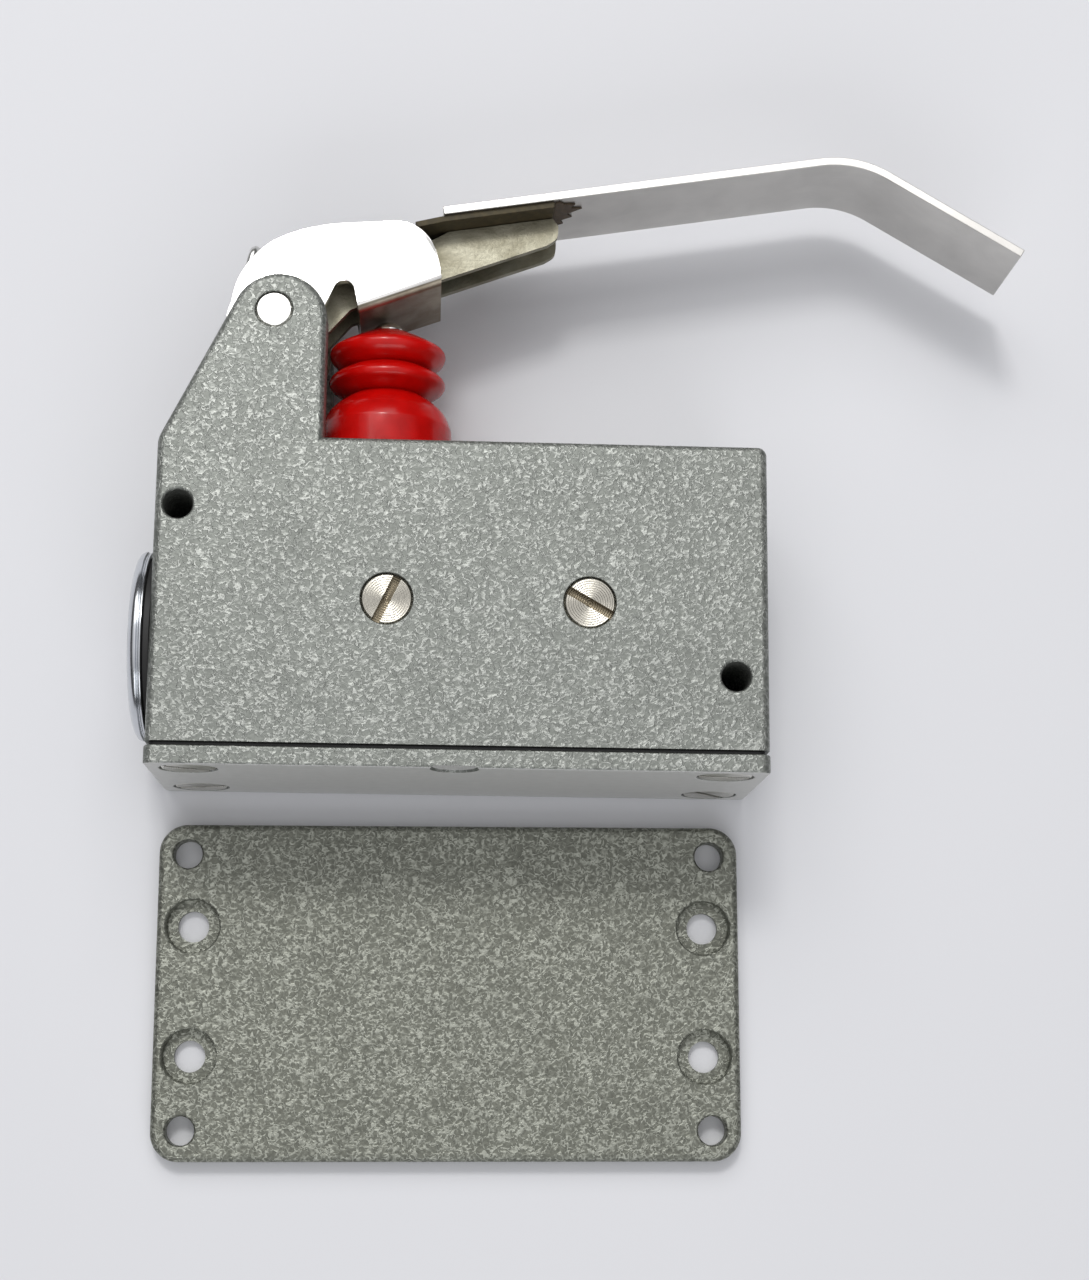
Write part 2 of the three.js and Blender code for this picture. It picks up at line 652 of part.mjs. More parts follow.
const bush = [
  [3.0, bushBottom],
  [bushRadius, bushBottom],
  [bushRadius, HALF_HEIGHT + 0.05],
  [6.4, HALF_HEIGHT + 0.05],
  [6.4, collarTop],
  [3.0, collarTop],
  [3.0, bushBottom],
];
addPart('plunger_bush', turned(bush), 'brass');

function plunger() {
  const { radius, neckRadius, tipRadius, tipCentreY } = PLUNGER;
  const profile = [
    [0, 24.2],
    [1.9, 23.6],
    [1.9, 13.2],
    [radius, 13.2],
    [radius, 13.7],
    [2.3, 13.7],
    [2.3, 14.4],
    [radius, 14.4],
    [radius, flange.bottom],
    [flange.radius, flange.bottom],
    [flange.radius, flange.top],
    [radius, flange.top],
    [neckRadius, 35.4],
  ];
  const rim = Math.acos(neckRadius / tipRadius);
  const steps = 6;
  for (let i = 0; i <= steps; i += 1) {
    const angle = rim + ((Math.PI / 2 - rim) * i) / steps;
    const r = i === steps ? 0 : tipRadius * Math.cos(angle);
    profile.push([r, tipCentreY + tipRadius * Math.sin(angle)]);
  }
  return turned(profile);
}

addPart('plunger', plunger(), 'nickel');

const clip = [
  [2.36, clipBottom],
  [4.4, clipBottom],
  [4.4, clipBottom + 0.6],
  [2.36, clipBottom + 0.6],
  [2.36, clipBottom],
];
addPart('plunger_clip', turned(clip), 'steel');

addPart('return_spring', tube(new Helix(3.75, 21.6, 34.05, 6), 0.3, 60, 4), 'steel');
addPart('overtravel_spring', tube(new Helix(1.35, 17.4, 23.0, 6), 0.22, 54, 4), 'steel');

const pushPin = [
  [0, 12.0],
  [1.2, 12.0],
  [1.5, 12.3],
  [1.5, 15.6],
  [1.8, 15.6],
  [1.8, 17.1],
  [0, 17.1],
];
addPart('push_pin', turned(pushPin, 12), 'steel');

// ---- Rubber bellows, seated round the bush's collar ----
function bellows() {
  const outside = [
    [8.65, 19.7],
    [8.65, 24.2],
    [7.7, 26.2],
    [4.95, 28.6],
    [6.9, 29.4],
    [7.65, 30.5],
    [7.1, 31.6],
    [5.5, 32.35],
    [7.0, 33.4],
    [7.65, 34.5],
    [7.0, 35.3],
    [2.9, 37.6],
    [2.25, 37.6],
  ];
  const inside = [
    [2.25, 36.7],
    [5.9, 35.2],
    [6.7, 34.4],
    [6.2, 33.7],
    [4.7, 32.4],
    [6.3, 31.2],
    [6.7, 30.5],
    [6.0, 29.9],
    [4.2, 28.6],
    [6.9, 25.7],
    [7.7, 24.0],
    [7.7, 22.4],
    [6.6, 21.9],
    [6.55, 19.7],
    [8.65, 19.7],
  ];
  return turned([...outside, ...inside]);
}

addPart('bellows', bellows(), 'redRubber');

// ---- Snap-action switch inside the housing ----
const caseX = [SIDE_SCREWS.x - CASE.length / 2, SIDE_SCREWS.x + CASE.length / 2];
const caseY = [CASE.top - CASE.height, CASE.top];
const caseZ = [MID_Z - CASE.depth / 2, MID_Z + CASE.depth / 2];
const lidBack = caseZ[1] - CASE.wall;
const bladeY = 4.2;
const bladeZ = [MID_Z - 3.0, MID_Z + 3.0];
const contactX = 22.4;
const strip = 0.8;
const comX = -17.6;
const ncY = 5.7;
const noY = 2.1;

function screwHoles(radius) {
  return sideScrewX.map((x) => rod('z', x, SIDE_SCREWS.y, -1, 30, radius));
}

function switchCase() {
  const outline = roundedRectangle(...caseX, ...caseY, 1.2);
  const w = CASE.wall;
  const inner = [caseX[0] + w, caseX[1] - w, caseY[0] + w, caseY[1] - w];
  const hollow = box(...inner, caseZ[0] + w, lidBack + 1);
  const columns = sideScrewX.map((x) => {
    return rod('z', x, SIDE_SCREWS.y, caseZ[0] + w - 0.5, lidBack, CASE.columnRadius);
  });
  const shell = cut(slab(outline, caseZ[0], lidBack), [hollow]);
  const body = join([shell, ...columns]);
  const slots = [
    rod('y', PLUNGER.x, MID_Z, caseY[1] - w - 1, caseY[1] + 1, 1.72),
    box(caseX[0] - 1, caseX[0] + w + 0.5, -9.1, -8.1, MID_Z - 4.2, MID_Z + 4.2),
    box(caseX[1] - w - 0.5, caseX[1] + 1, ncY - 0.1, ncY + strip + 0.1, MID_Z - 4.2, MID_Z + 4.2),
    box(caseX[1] - w - 0.5, caseX[1] + 1, -4.1, -3.1, MID_Z - 4.2, MID_Z + 4.2),
  ];
  return cut(body, [...slots, ...screwHoles(SIDE_SCREWS.shankRadius + 0.12)]);
}

addPart('switch_case', switchCase(), 'phenolic');

const lid = slab(roundedRectangle(...caseX, ...caseY, 1.2), lidBack + 0.03, caseZ[1]);
addPart('switch_case_lid', cut(lid, screwHoles(SIDE_SCREWS.shankRadius + 0.12)), 'phenolic');

const linerOutline = roundedRectangle(caseX[0] + 0.3, caseX[1] - 0.3, -15, 8.6, 0.8);
for (const [side, z0, z1] of [['rear', 2.9, 3.75], ['front', 21.65, 22.5]]) {
  const sheet = slab(linerOutline, z0, z1);
  addPart(`insulator_${side}`, cut(sheet, screwHoles(SIDE_SCREWS.shankRadius + 0.3)), 'sheetFibre');
}

const button = [
  [0, bladeY + 0.85],
  [1.5, bladeY + 0.85],
  [2.2, bladeY + 1.2],
  [2.2, 6.2],
  [1.6, 6.2],
  [1.6, 11.4],
  [1.2, 11.9],
  [0, 11.9],
];
addPart('switch_button', turned(button, 16), 'redRubber');

function terminalScrewHole(x) {
  return rod('y', x, MID_Z, -20, 20, 1.6);
}

function bar(x0, x1, y0, y1) {
  return box(x0, x1, y0, y1, MID_Z - 4.0, MID_Z + 4.0);
}

const tabX = { com: -24.4, right: 31.0 };
const comTerminal = join([
  bar(-27.4, comX + strip, -9.0, -8.2),
  bar(comX, comX + strip, -9.0, bladeY - 0.9),
  box(comX, comX + 2.2, bladeY - 1.3, bladeY - 0.5, ...bladeZ),
]);
addPart('terminal_common', cut(comTerminal, [terminalScrewHole(tabX.com)]), 'brass');

const closedTerminal = bar(contactX - 1.6, 33.8, ncY, ncY + strip);
const closedContact = rod('y', contactX, MID_Z, ncY - 0.6, ncY + 0.3, 1.5, 1.5, 20);
const closedBody = join([closedTerminal, closedContact]);
addPart('terminal_normally_closed', cut(closedBody, [terminalScrewHole(tabX.right)]), 'brass');

const openTerminal = join([
  bar(contactX - 1.6, 24.4, noY - strip, noY),
  bar(23.6, 24.4, -4.0, noY),
  bar(23.6, 33.8, -4.0, -3.2),
  rod('y', contactX, MID_Z, noY - 0.3, noY + 0.6, 1.5, 1.5, 20),
]);
addPart('terminal_normally_open', cut(openTerminal, [terminalScrewHole(tabX.right)]), 'brass');

const terminalScrews = [
  ['common', tabX.com, -8.2],
  ['normally_closed', tabX.right, ncY + strip],
  ['normally_open', tabX.right, -3.2],
];
for (const [name, x, y] of terminalScrews) {
  const size = {
    headRadius: 3.0,
    headHeight: 1.7,
    seatRadius: 3.0,
    shankRadius: 1.45,
    length: 4.4,
    slotWidth: 0.8,
    slotDepth: 0.9,
  };
  const mesh = addPart(`terminal_screw_${name}`, slottedScrew(size), 'steel');
  mesh.rotation.x = -Math.PI / 2;
  mesh.position.set(x, y + 1.75, MID_Z);
}

const bladeStart = comX + 0.3;
const bladeEnd = contactX + 1.9;
const bladeSheet = box(bladeStart, bladeEnd, bladeY, bladeY + 0.35, ...bladeZ);
const bladeWindow = box(-6.5, 18.5, bladeY - 1, bladeY + 1, MID_Z - 1.6, MID_Z + 1.6);
const bladeHole = rod('y', contactX, MID_Z, bladeY - 1, bladeY + 1, 0.9, 0.9, 16);
addPart('snap_blade', cut(bladeSheet, [bladeWindow, bladeHole]), 'brass');

const contactHalf = (y0, y1, radius) => rod('y', contactX, MID_Z, y0, y1, radius, radius, 20);
const movingContact = join([
  contactHalf(bladeY - 0.55, bladeY - 0.04, 1.4),
  contactHalf(bladeY - 0.3, bladeY + 0.6, 0.8),
  contactHalf(bladeY + 0.39, bladeY + 0.8, 1.4),
]);
addPart('moving_contact', movingContact, 'silver');

// ---- Earth terminal under the housing's roof ----
const earthSize = {
  headRadius: 3.0,
  headHeight: 1.7,
  seatRadius: 3.0,
  shankRadius: 1.45,
  length: 5.0,
  slotWidth: 0.8,
  slotDepth: 0.9,
};
const earthScrew = addPart('earth_screw', slottedScrew(earthSize), 'steel');
earthScrew.rotation.x = Math.PI / 2;
earthScrew.position.set(earthScrewX, ceiling - 3.1, MID_Z);
const earthWasher = cut(rod('y', earthScrewX, MID_Z, ceiling - 1.2, ceiling - 0.2, 3.6), [
  rod('y', earthScrewX, MID_Z, 0, 30, 1.6),
]);
addPart('earth_washer', earthWasher, 'brass');

export default group;
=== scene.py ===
# %% [markdown]
# # A lever-and-leaf limit switch
# A small die-cast switch lies on its side on a pale table, and the mounting plate that comes with
# it lies below it. This lesson builds its visible pieces one by one around a fixed CAD frame. The
# frame says where every part sits and which body it moves with, so nothing here has to be fitted.

# %% Load the frame
import math

import bmesh
import bpy
from mathutils import Matrix, Vector


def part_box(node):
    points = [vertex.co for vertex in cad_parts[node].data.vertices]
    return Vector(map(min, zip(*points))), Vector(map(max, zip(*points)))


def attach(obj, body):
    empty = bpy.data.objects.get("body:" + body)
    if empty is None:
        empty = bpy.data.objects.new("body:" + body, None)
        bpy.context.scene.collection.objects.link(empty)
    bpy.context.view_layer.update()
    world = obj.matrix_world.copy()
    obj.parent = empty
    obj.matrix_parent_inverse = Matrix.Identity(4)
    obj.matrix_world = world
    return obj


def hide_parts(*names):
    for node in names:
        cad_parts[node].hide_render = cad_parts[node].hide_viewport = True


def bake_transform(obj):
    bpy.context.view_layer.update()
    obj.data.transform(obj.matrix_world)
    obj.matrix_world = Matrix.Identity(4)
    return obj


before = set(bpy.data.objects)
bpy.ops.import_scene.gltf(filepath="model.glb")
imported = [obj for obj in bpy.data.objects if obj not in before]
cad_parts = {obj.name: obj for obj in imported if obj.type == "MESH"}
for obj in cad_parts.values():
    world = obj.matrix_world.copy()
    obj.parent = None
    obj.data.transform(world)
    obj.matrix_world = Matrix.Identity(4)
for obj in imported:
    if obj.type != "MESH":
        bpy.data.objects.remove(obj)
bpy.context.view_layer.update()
MM = 0.001
print("parts in the frame:", len(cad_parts))

# %% [markdown]
# ## Measuring the frame
# Everything is drawn in millimetres and turned to metres at the end. The housing's own box gives
# the driving sizes, such as the middle plane that the plunger and the lever share.


# %% Sizes read from the frame
def span(node):
    low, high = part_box(node)
    return low / MM, high / MM


def centre(node):
    low, high = span(node)
    return (low + high) / 2


def levels(node):
    low, high = span(node)
    return low.z, high.z


housing_low, housing_high = span("housing")
HALF_LENGTH, HALF_HEIGHT = housing_high.x, -housing_low.y
THICKNESS = housing_high.z
MID_Z = THICKNESS / 2
PIVOT = centre("pivot_pin")
PLUNGER_X = centre("plunger").x
print(f"housing {2 * HALF_LENGTH:.1f} long, {THICKNESS:.1f} thick, pivot at {PIVOT.x:.1f}, {PIVOT.y:.1f}")

# %% [markdown]
# ## Outlines
# Most pieces are stamped or cast to a flat outline. An outline is a list of points drawn counter-
# clockwise, put together from straight runs, arcs and Bezier curves.


# %% Drawing outlines
def arc(cx, cy, radius, start, end, steps=24):
    angles = [start + (end - start) * i / steps for i in range(steps + 1)]
    return [(cx + radius * math.cos(a), cy + radius * math.sin(a)) for a in angles]


def bezier(a, b, c, d, steps=16):
    points = []
    for i in range(1, steps + 1):
        t = i / steps
        s = 1 - t
        weights = (s * s * s, 3 * s * s * t, 3 * s * t * t, t * t * t)
        x = sum(w * p[0] for w, p in zip(weights, (a, b, c, d)))
        y = sum(w * p[1] for w, p in zip(weights, (a, b, c, d)))
        points.append((x, y))
    return points


def rounded_rectangle(x0, x1, y0, y1, radius, steps=12):
    quarter = math.pi / 2
    corners = ((x1 - radius, y0 + radius, -quarter), (x1 - radius, y1 - radius, 0))
    corners += ((x0 + radius, y1 - radius, quarter), (x0 + radius, y0 + radius, 2 * quarter))
    points = []
    for cx, cy, start in corners:
        points += arc(cx, cy, radius, start, start + quarter, steps)
    return points


def inset(outline, distance):
    moved = []
    for i, (x, y) in enumerate(outline):
        here = Vector((x, y))
        before = (here - Vector(outline[i - 1])).normalized()
        after = (Vector(outline[(i + 1) % len(outline)]) - here).normalized()
        left_before = Vector((-before.y, before.x))
        left_after = Vector((-after.y, after.x))
        mitre = (left_before + left_after) / (1 + left_before.dot(left_after))
        moved.append(tuple(here + mitre * distance))
    return moved


# %% [markdown]
# ## Slabs and turned bodies
# Two builders make nearly every solid. A slab stacks rings of an outline, each inset along a
# quarter circle, so its edges are round like a casting's. A turned body spins a profile of radius
# and height.


# %% Solid builders
def placed(name, data):
    thing = bpy.data.objects.new(name, data)
    bpy.context.collection.objects.link(thing)
    return thing


def solid(name, vertices, faces):
    mesh = bpy.data.meshes.new(name)
    mesh.from_pydata(vertices, [], faces)
    shape = bmesh.new()
    shape.from_mesh(mesh)
    bmesh.ops.remove_doubles(shape, verts=shape.verts, dist=1e-5)
    bmesh.ops.recalc_face_normals(shape, faces=shape.faces)
    shape.to_mesh(mesh)
    shape.free()
    return placed(name, mesh)


def edge_rings(z0, z1, low_edge, high_edge, steps):
    rings = []
    for i in range(steps + 1 if low_edge else 1):
        turn = math.pi / 2 * i / steps if low_edge else math.pi / 2
        rings.append((low_edge * (1 - math.sin(turn)), z0 + low_edge * (1 - math.cos(turn))))
    for i in range(steps + 1 if high_edge else 1):
        turn = math.pi / 2 * i / steps if high_edge else 0
        rings.append((high_edge * (1 - math.cos(turn)), z1 - high_edge * (1 - math.sin(turn))))
    return rings


def slab(name, outline, z0, z1, low_edge=0.0, high_edge=0.0, steps=6):
    rings = edge_rings(z0, z1, low_edge, high_edge, steps)
    count = len(outline)
    vertices = []
    for distance, z in rings:
        vertices += [(x, y, z) for x, y in inset(outline, distance)]
    faces = [tuple(range(count)), tuple(range(len(vertices) - count, len(vertices)))]
    for level in range(len(rings) - 1):
        base = level * count
        for i in range(count):
            j = (i + 1) % count
            faces.append((base + i, base + j, base + count + j, base + count + i))
    return solid(name, vertices, faces)


def lay_flat(thing, y_top):
    thing.data.transform(Matrix.Translation((0, y_top, 0)) @ Matrix.Rotation(math.pi / 2, 4, "X"))
    return thing


AXES = {
    "x": Matrix.Rotation(math.pi / 2, 4, "Y"),
    "y": Matrix.Rotation(-math.pi / 2, 4, "X"),
    "z": Matrix.Identity(4),
}


def turned(name, profile, axis="z", place=(0, 0, 0), sides=96, ring=False):
    vertices = []
    for i in range(sides):
        angle = 2 * math.pi * i / sides
        vertices += [(r * math.cos(angle), r * math.sin(angle), h) for r, h in profile]
    count = len(profile)
    faces = []
    for i in range(sides):
        for k in range(count if ring else count - 1):
            a, b = i * count + k, i * count + (k + 1) % count
            shift = (count * (i + 1)) % len(vertices) - count * i
            faces.append((a, b, b + shift, a + shift))
    thing = solid(name, vertices, faces)
    thing.data.transform(Matrix.Translation(place) @ AXES[axis])
    return thing


def block(name, x0, x1, y0, y1, z0, z1):
    return slab(name, [(x0, y0), (x1, y0), (x1, y1), (x0, y1)], z0, z1)


# %% [markdown]
# ## Cutting, joining and rounding
# Holes are cut with the Boolean modifier's exact solver. A drilled hole never has a razor edge, so
# a drill can carry a small flare that leaves a rounded lip. Where two sheets meet in a fold, the
# edge is bevelled after joining.


# %% Cutting and rounding
def made_plain(thing):
    bpy.context.view_layer.update()
    seen = thing.evaluated_get(bpy.context.evaluated_depsgraph_get())
    mesh = bpy.data.meshes.new_from_object(seen)
    thing.modifiers.clear()
    thing.data = mesh
    return thing


def combine(thing, others, operation):
    for other in others:
        step = thing.modifiers.new(operation.lower(), "BOOLEAN")
        step.operation = operation
        step.solver = "EXACT"
        step.object = other
    made_plain(thing)
    for other in others:
        bpy.data.objects.remove(other)
    return thing


def carve(thing, *tools):
    return combine(thing, tools, "DIFFERENCE")


def weld(thing, *others):
    return combine(thing, others, "UNION")


LIP_STEPS = 6


def drill(axis, place, low, high, radius, low_lip=0.0, high_lip=0.0, sides=64):
    profile = [(0, low)]
    for lip, end, sign in ((low_lip, low, 1), (high_lip, high, -1)):
        corner = [(radius, end)]
        if lip:
            surface = end + sign
            corner = [(radius + 2 * lip, end), (radius + 2 * lip, surface)]
            for i in range(LIP_STEPS + 1):
                turn = math.pi / 2 * i / LIP_STEPS
                rise = lip * (1 - math.cos(turn))
                corner.append((radius + lip * (1 - math.sin(turn)), surface + sign * rise))
        profile += corner if sign > 0 else corner[::-1]
    profile.append((0, high))
    return turned("drill", profile, axis, place, sides)


def round_edges(thing, chosen, width, steps=5):
    shape = bmesh.new()
    shape.from_mesh(thing.data)
    bmesh.ops.remove_doubles(shape, verts=shape.verts, dist=1e-4)
    flat = math.radians(0.5)
    bmesh.ops.dissolve_limit(shape, angle_limit=flat, verts=shape.verts, edges=shape.edges)
    edges = [edge for edge in shape.edges if chosen(edge.verts[0].co, edge.verts[1].co)]
    bmesh.ops.bevel(
        shape, geom=edges, offset=width, segments=steps, profile=0.5, affect="EDGES", clamp_overlap=True
    )
    shape.to_mesh(thing.data)
    shape.free()
    return len(edges)


def at_levels(a, b, heights):
    return min(abs(a.z - z) + abs(b.z - z) for z in heights) < 1e-3


def soften(thing, width, angle=40, steps=2):
    step = thing.modifiers.new("soften", "BEVEL")
    step.width = width
    step.segments = steps
    step.limit_method = "ANGLE"
    step.angle_limit = math.radians(angle)
    step.harden_normals = False
    return made_plain(thing)


def shade(thing, angle):
    thing.data.shade_smooth()
    thing.data.set_sharp_from_angle(angle=math.radians(angle))
    step = thing.modifiers.new("even_normals", "WEIGHTED_NORMAL")
    step.keep_sharp = True
    return made_plain(thing)


def settle(thing, name, finish, nodes, body=None, angle=32):
    shade(thing, angle)
    thing.data.transform(Matrix.Scale(MM, 4))
    thing.data.materials.clear()
    thing.data.materials.append(finish)
    thing.name = name
    thing.data.name = name
    thing.data.calc_loop_triangles()
    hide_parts(*nodes)
    if body:
        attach(thing, body)
    print(f"{name}: {len(thing.data.loop_triangles)} triangles")
    return thing


# %% [markdown]
# ## The camera
# The camera looks from almost straight above, leaning towards the plate. Three turns carry the
# part's axes to the camera's axes, so their matrix is transposed to point the other way.

# %% Camera
CAMERA_PLACE = Vector((-3.60, -61.82, 295.86)) * MM
CAMERA_TURNS = {"X": -0.20281, "Y": 0.05054, "Z": -0.01948}
turn = Matrix.Identity(4)
for axis, angle in CAMERA_TURNS.items():
    turn = Matrix.Rotation(angle, 4, axis) @ turn
lens = bpy.data.cameras.new("camera")
lens.sensor_width = 36.0
lens.lens = 62.47
lens.clip_start = 0.01
camera = placed("camera", lens)
camera.matrix_world = Matrix.Translation(CAMERA_PLACE) @ turn.transposed()
bpy.context.scene.camera = camera
print("camera at", [round(v, 3) for v in camera.location])

# %% [markdown]
# ## Table and light
# A plain pale table is lit from the lever side, by a small lamp that casts the short shadows and
# a broad one that makes the table paler there. A weak lamp on the plate's side fills in. The
# room is bright overhead and dim at its edges, so flat metal looks white and rounded edges dark.

# %% Table and light
bpy.context.scene.view_settings.view_transform = "Standard"


def soft_lamp(name, place, size, power, colour):
    data = bpy.data.lights.new(name, "AREA")
    data.shape = "RECTANGLE"
    data.size, data.size_y = size
    data.energy = power
    data.color = colour
    facing = (-Vector(place)).to_track_quat("-Z", "Y").to_matrix().to_4x4()
    placed(name, data).matrix_world = Matrix.Translation(place) @ facing


soft_lamp("key_lamp", (-0.25, 1.25, 2.00), (0.42, 0.38), 13.5, (1.0, 0.99, 0.975))
soft_lamp("broad_lamp", (-0.12, 0.50, 0.62), (0.70, 0.50), 2.5, (1.0, 0.995, 0.99))
soft_lamp("fill_lamp", (0.10, -1.25, 0.80), (1.30, 0.80), 6.5, (0.97, 0.98, 1.0))

room = bpy.data.worlds.new("room")
bpy.context.scene.world = room
room.use_nodes = True


# %% [markdown]
# ## Building node trees
# Materials and Geometry Nodes are both node trees, so one helper adds a node, sets its options,
# and links or fills its inputs.


# %% Node helper
def add_node(tree, kind, inputs=None, **options):
    node = tree.nodes.new(kind)
    for option, value in options.items():
        setattr(node, option, value)
    for label, value in (inputs or {}).items():
        if isinstance(value, bpy.types.NodeSocket):
            tree.links.new(value, node.inputs[label])
        else:
            node.inputs[label].default_value = value
    return node


def grey(value, tint=(1.0, 1.0, 1.0)):
    return (value * tint[0], value * tint[1], value * tint[2], 1.0)


def blend_colours(tree, share, low, high):
    ramp = add_node(tree, "ShaderNodeValToRGB", {"Fac": share})
    ramp.color_ramp.elements[0].color = low
    ramp.color_ramp.elements[1].color = high
    return ramp


def compute(tree, operation, a, b=0.0):
    return add_node(tree, "ShaderNodeMath", {0: a, 1: b}, operation=operation).outputs[0]


def scaled(tree, value, factor, offset):
    return compute(tree, "ADD", compute(tree, "MULTIPLY", value, factor), offset)


DIM_EDGE, BRIGHT_TOP = (0.07, 0.07, 0.072, 1), (1.0, 1.0, 1.02, 1)
sky = room.node_tree
direction = add_node(sky, "ShaderNodeTexCoord").outputs["Generated"]
upward = add_node(sky, "ShaderNodeSeparateXYZ", {0: direction}).outputs["Z"]
glow = blend_colours(sky, upward, DIM_EDGE, BRIGHT_TOP)
glow.color_ramp.elements[0].position = 0.50
glow.color_ramp.elements[1].position = 0.97
sky.links.new(glow.outputs["Color"], sky.nodes["Background"].inputs["Color"])
sky.nodes["Background"].inputs["Strength"].default_value = 1.0

# %% [markdown]
# ## A base for every finish
# Each finish starts from the Principled shader with its even values on the shader's own sockets.
# Patterns read Object coordinates, so they stay still on the piece and keep their real size.


# %% Finish base
def new_finish(name, **values):
    material = bpy.data.materials.new(name)
    material.use_nodes = True
    shader = material.node_tree.nodes["Principled BSDF"]
    for label, value in values.items():
        shader.inputs[label.replace("_", " ")].default_value = value
    return material, material.node_tree, shader


def noise(tree, place, size, detail=2.0, distortion=0.0, roughness=0.5):
    inputs = {"Vector": place, "Scale": 1 / (size * MM), "Detail": detail}
    inputs.update({"Distortion": distortion, "Roughness": roughness})
    return add_node(tree, "ShaderNodeTexNoise", inputs).outputs["Fac"]


def object_place(tree, stretch=(1, 1, 1)):
    place = add_node(tree, "ShaderNodeTexCoord").outputs["Object"]
    return add_node(tree, "ShaderNodeMapping", {"Vector": place, "Scale": stretch}).outputs["Vector"]


def band(tree, value, low, high):
    inputs = {"Value": value, "From Min": low, "From Max": high}
    return add_node(tree, "ShaderNodeMapRange", inputs, clamp=True).outputs["Result"]


def mixed(tree, share, low, high):
    inputs = {0: share, 6: low, 7: high}
    return add_node(tree, "ShaderNodeMix", inputs, data_type="RGBA").outputs[2]


def darker(colour, share):
    return tuple(v * share for v in colour[:3]) + (1,)


def dress(tree, shader, colour, roughness, height, depth, strength):
    tree.links.new(colour, shader.inputs["Base Color"])
    if roughness is not None:
        tree.links.new(roughness, shader.inputs["Roughness"])
    inputs = {"Height": height, "Distance": depth * MM, "Strength": strength}
    bump = add_node(tree, "ShaderNodeBump", inputs)
    tree.links.new(bump.outputs["Normal"], shader.inputs["Normal"])


# %% [markdown]
# ## Hammered paint
# The casting is sprayed with a silver-grey hammer paint that dries into short, worm-like ridges.
# Where a noise crosses its middle value it draws thin winding lines. A second noise breaks them
# into short pieces, and the pattern drives the colour, the gloss and the bump.


# %% Hammered paint
RIDGE_SIZE, PATCH_SIZE, GRAIN_SIZE, CLOUD_SIZE = 0.72, 0.9, 0.45, 9.0


def paint_ridges(tree, place):
    wind = noise(tree, place, RIDGE_SIZE, 1.5, 0.7)
    away = compute(tree, "ABSOLUTE", compute(tree, "SUBTRACT", wind, 0.5))
    patch = band(tree, noise(tree, place, PATCH_SIZE, 1.0), 0.22, 0.55)
    return compute(tree, "MULTIPLY", band(tree, away, 0.10, 0.02), patch)


def hammered_paint(name, dark, middle, pale, ridge_share):
    material, tree, shader = new_finish(name, Metallic=0.90)
    place = object_place(tree)
    ridge = paint_ridges(tree, place)
    grain = noise(tree, place, GRAIN_SIZE)
    tone = band(tree, noise(tree, place, CLOUD_SIZE, 3.0), 0.3, 0.7)
    ground = blend_colours(tree, band(tree, grain, 0.32, 0.68), dark, middle).outputs[0]
    colour = mixed(tree, compute(tree, "MULTIPLY", ridge, ridge_share), ground, pale)
    inputs = {"Color": colour, "Value": scaled(tree, tone, 0.10, 0.95)}
    colour = add_node(tree, "ShaderNodeHueSaturation", inputs).outputs["Color"]
    height = compute(tree, "ADD", ridge, compute(tree, "MULTIPLY", grain, 0.6))
    dress(tree, shader, colour, scaled(tree, ridge, -0.08, 0.55), height, 0.055, 0.8)
    return material


TINT, PALE_TINT = (0.97, 1.02, 0.94), (0.98, 1.01, 0.95)
PLATE_TINT, PALE_PLATE_TINT = (1.0, 1.03, 0.87), (1.0, 1.03, 0.90)
PAINT = hammered_paint(
    "hammered_paint", grey(0.195, TINT), grey(0.255, TINT), grey(0.45, PALE_TINT), 0.72
)
PLATE_PAINT = hammered_paint(
    "plate_paint", grey(0.135, PLATE_TINT), grey(0.20, PLATE_TINT), grey(0.43, PALE_PLATE_TINT), 0.75
)

# %% [markdown]
# ## Bare metals
# Polished nickel is nearly a mirror, with faint clouds. Worn nickel is rougher and warmer. Rolled
# aluminium has scratches along its length, so its noise is squeezed across the strip.


# %% Metals
def metal(name, colour, rough, spread, grain, depth, stretch=(1, 1, 1), stain=None):
    material, tree, shader = new_finish(name, Metallic=1.0)
    place = object_place(tree, stretch)
    streak = noise(tree, place, grain, 4.0, 0.0, 0.65)
    cloud = noise(tree, object_place(tree), 5.0, 3.0, 0.4)
    ramp = blend_colours(tree, band(tree, cloud, 0.35, 0.7), colour, stain or darker(colour, 0.9))
    roughness = scaled(tree, streak, spread, rough - spread / 2)
    dress(tree, shader, ramp.outputs["Color"], roughness, streak, depth, 0.6)
    return material


NICKEL = metal("polished_nickel", (0.90, 0.885, 0.86, 1), 0.16, 0.10, 1.2, 0.006)
WORN_NICKEL = metal(
    "worn_nickel", (0.36, 0.345, 0.27, 1), 0.50, 0.24, 0.45, 0.12, stain=(0.20, 0.185, 0.13, 1)
)
# A darker, warmer copy of the nickel, used on the lever head for painted shade.
SHADED_NICKEL = metal(
    "shaded_nickel", (0.40, 0.36, 0.29, 1), 0.42, 0.16, 0.8, 0.03, stain=(0.22, 0.18, 0.13, 1)
)
ALUMINIUM = metal("rolled_aluminium", (0.69, 0.675, 0.645, 1), 0.36, 0.16, 1.1, 0.010, (1, 1, 14))
STEEL = metal("plated_steel", (0.66, 0.66, 0.64, 1), 0.30, 0.14, 0.6, 0.010)
CHROME = metal("dull_chrome", (0.62, 0.64, 0.67, 1), 0.20, 0.10, 1.4, 0.006)
BRASS = metal("brass", (0.74, 0.55, 0.25, 1), 0.28, 0.12, 0.8, 0.008)
SILVER = metal("silver_contact", (0.88, 0.87, 0.84, 1), 0.24, 0.08, 0.6, 0.004)
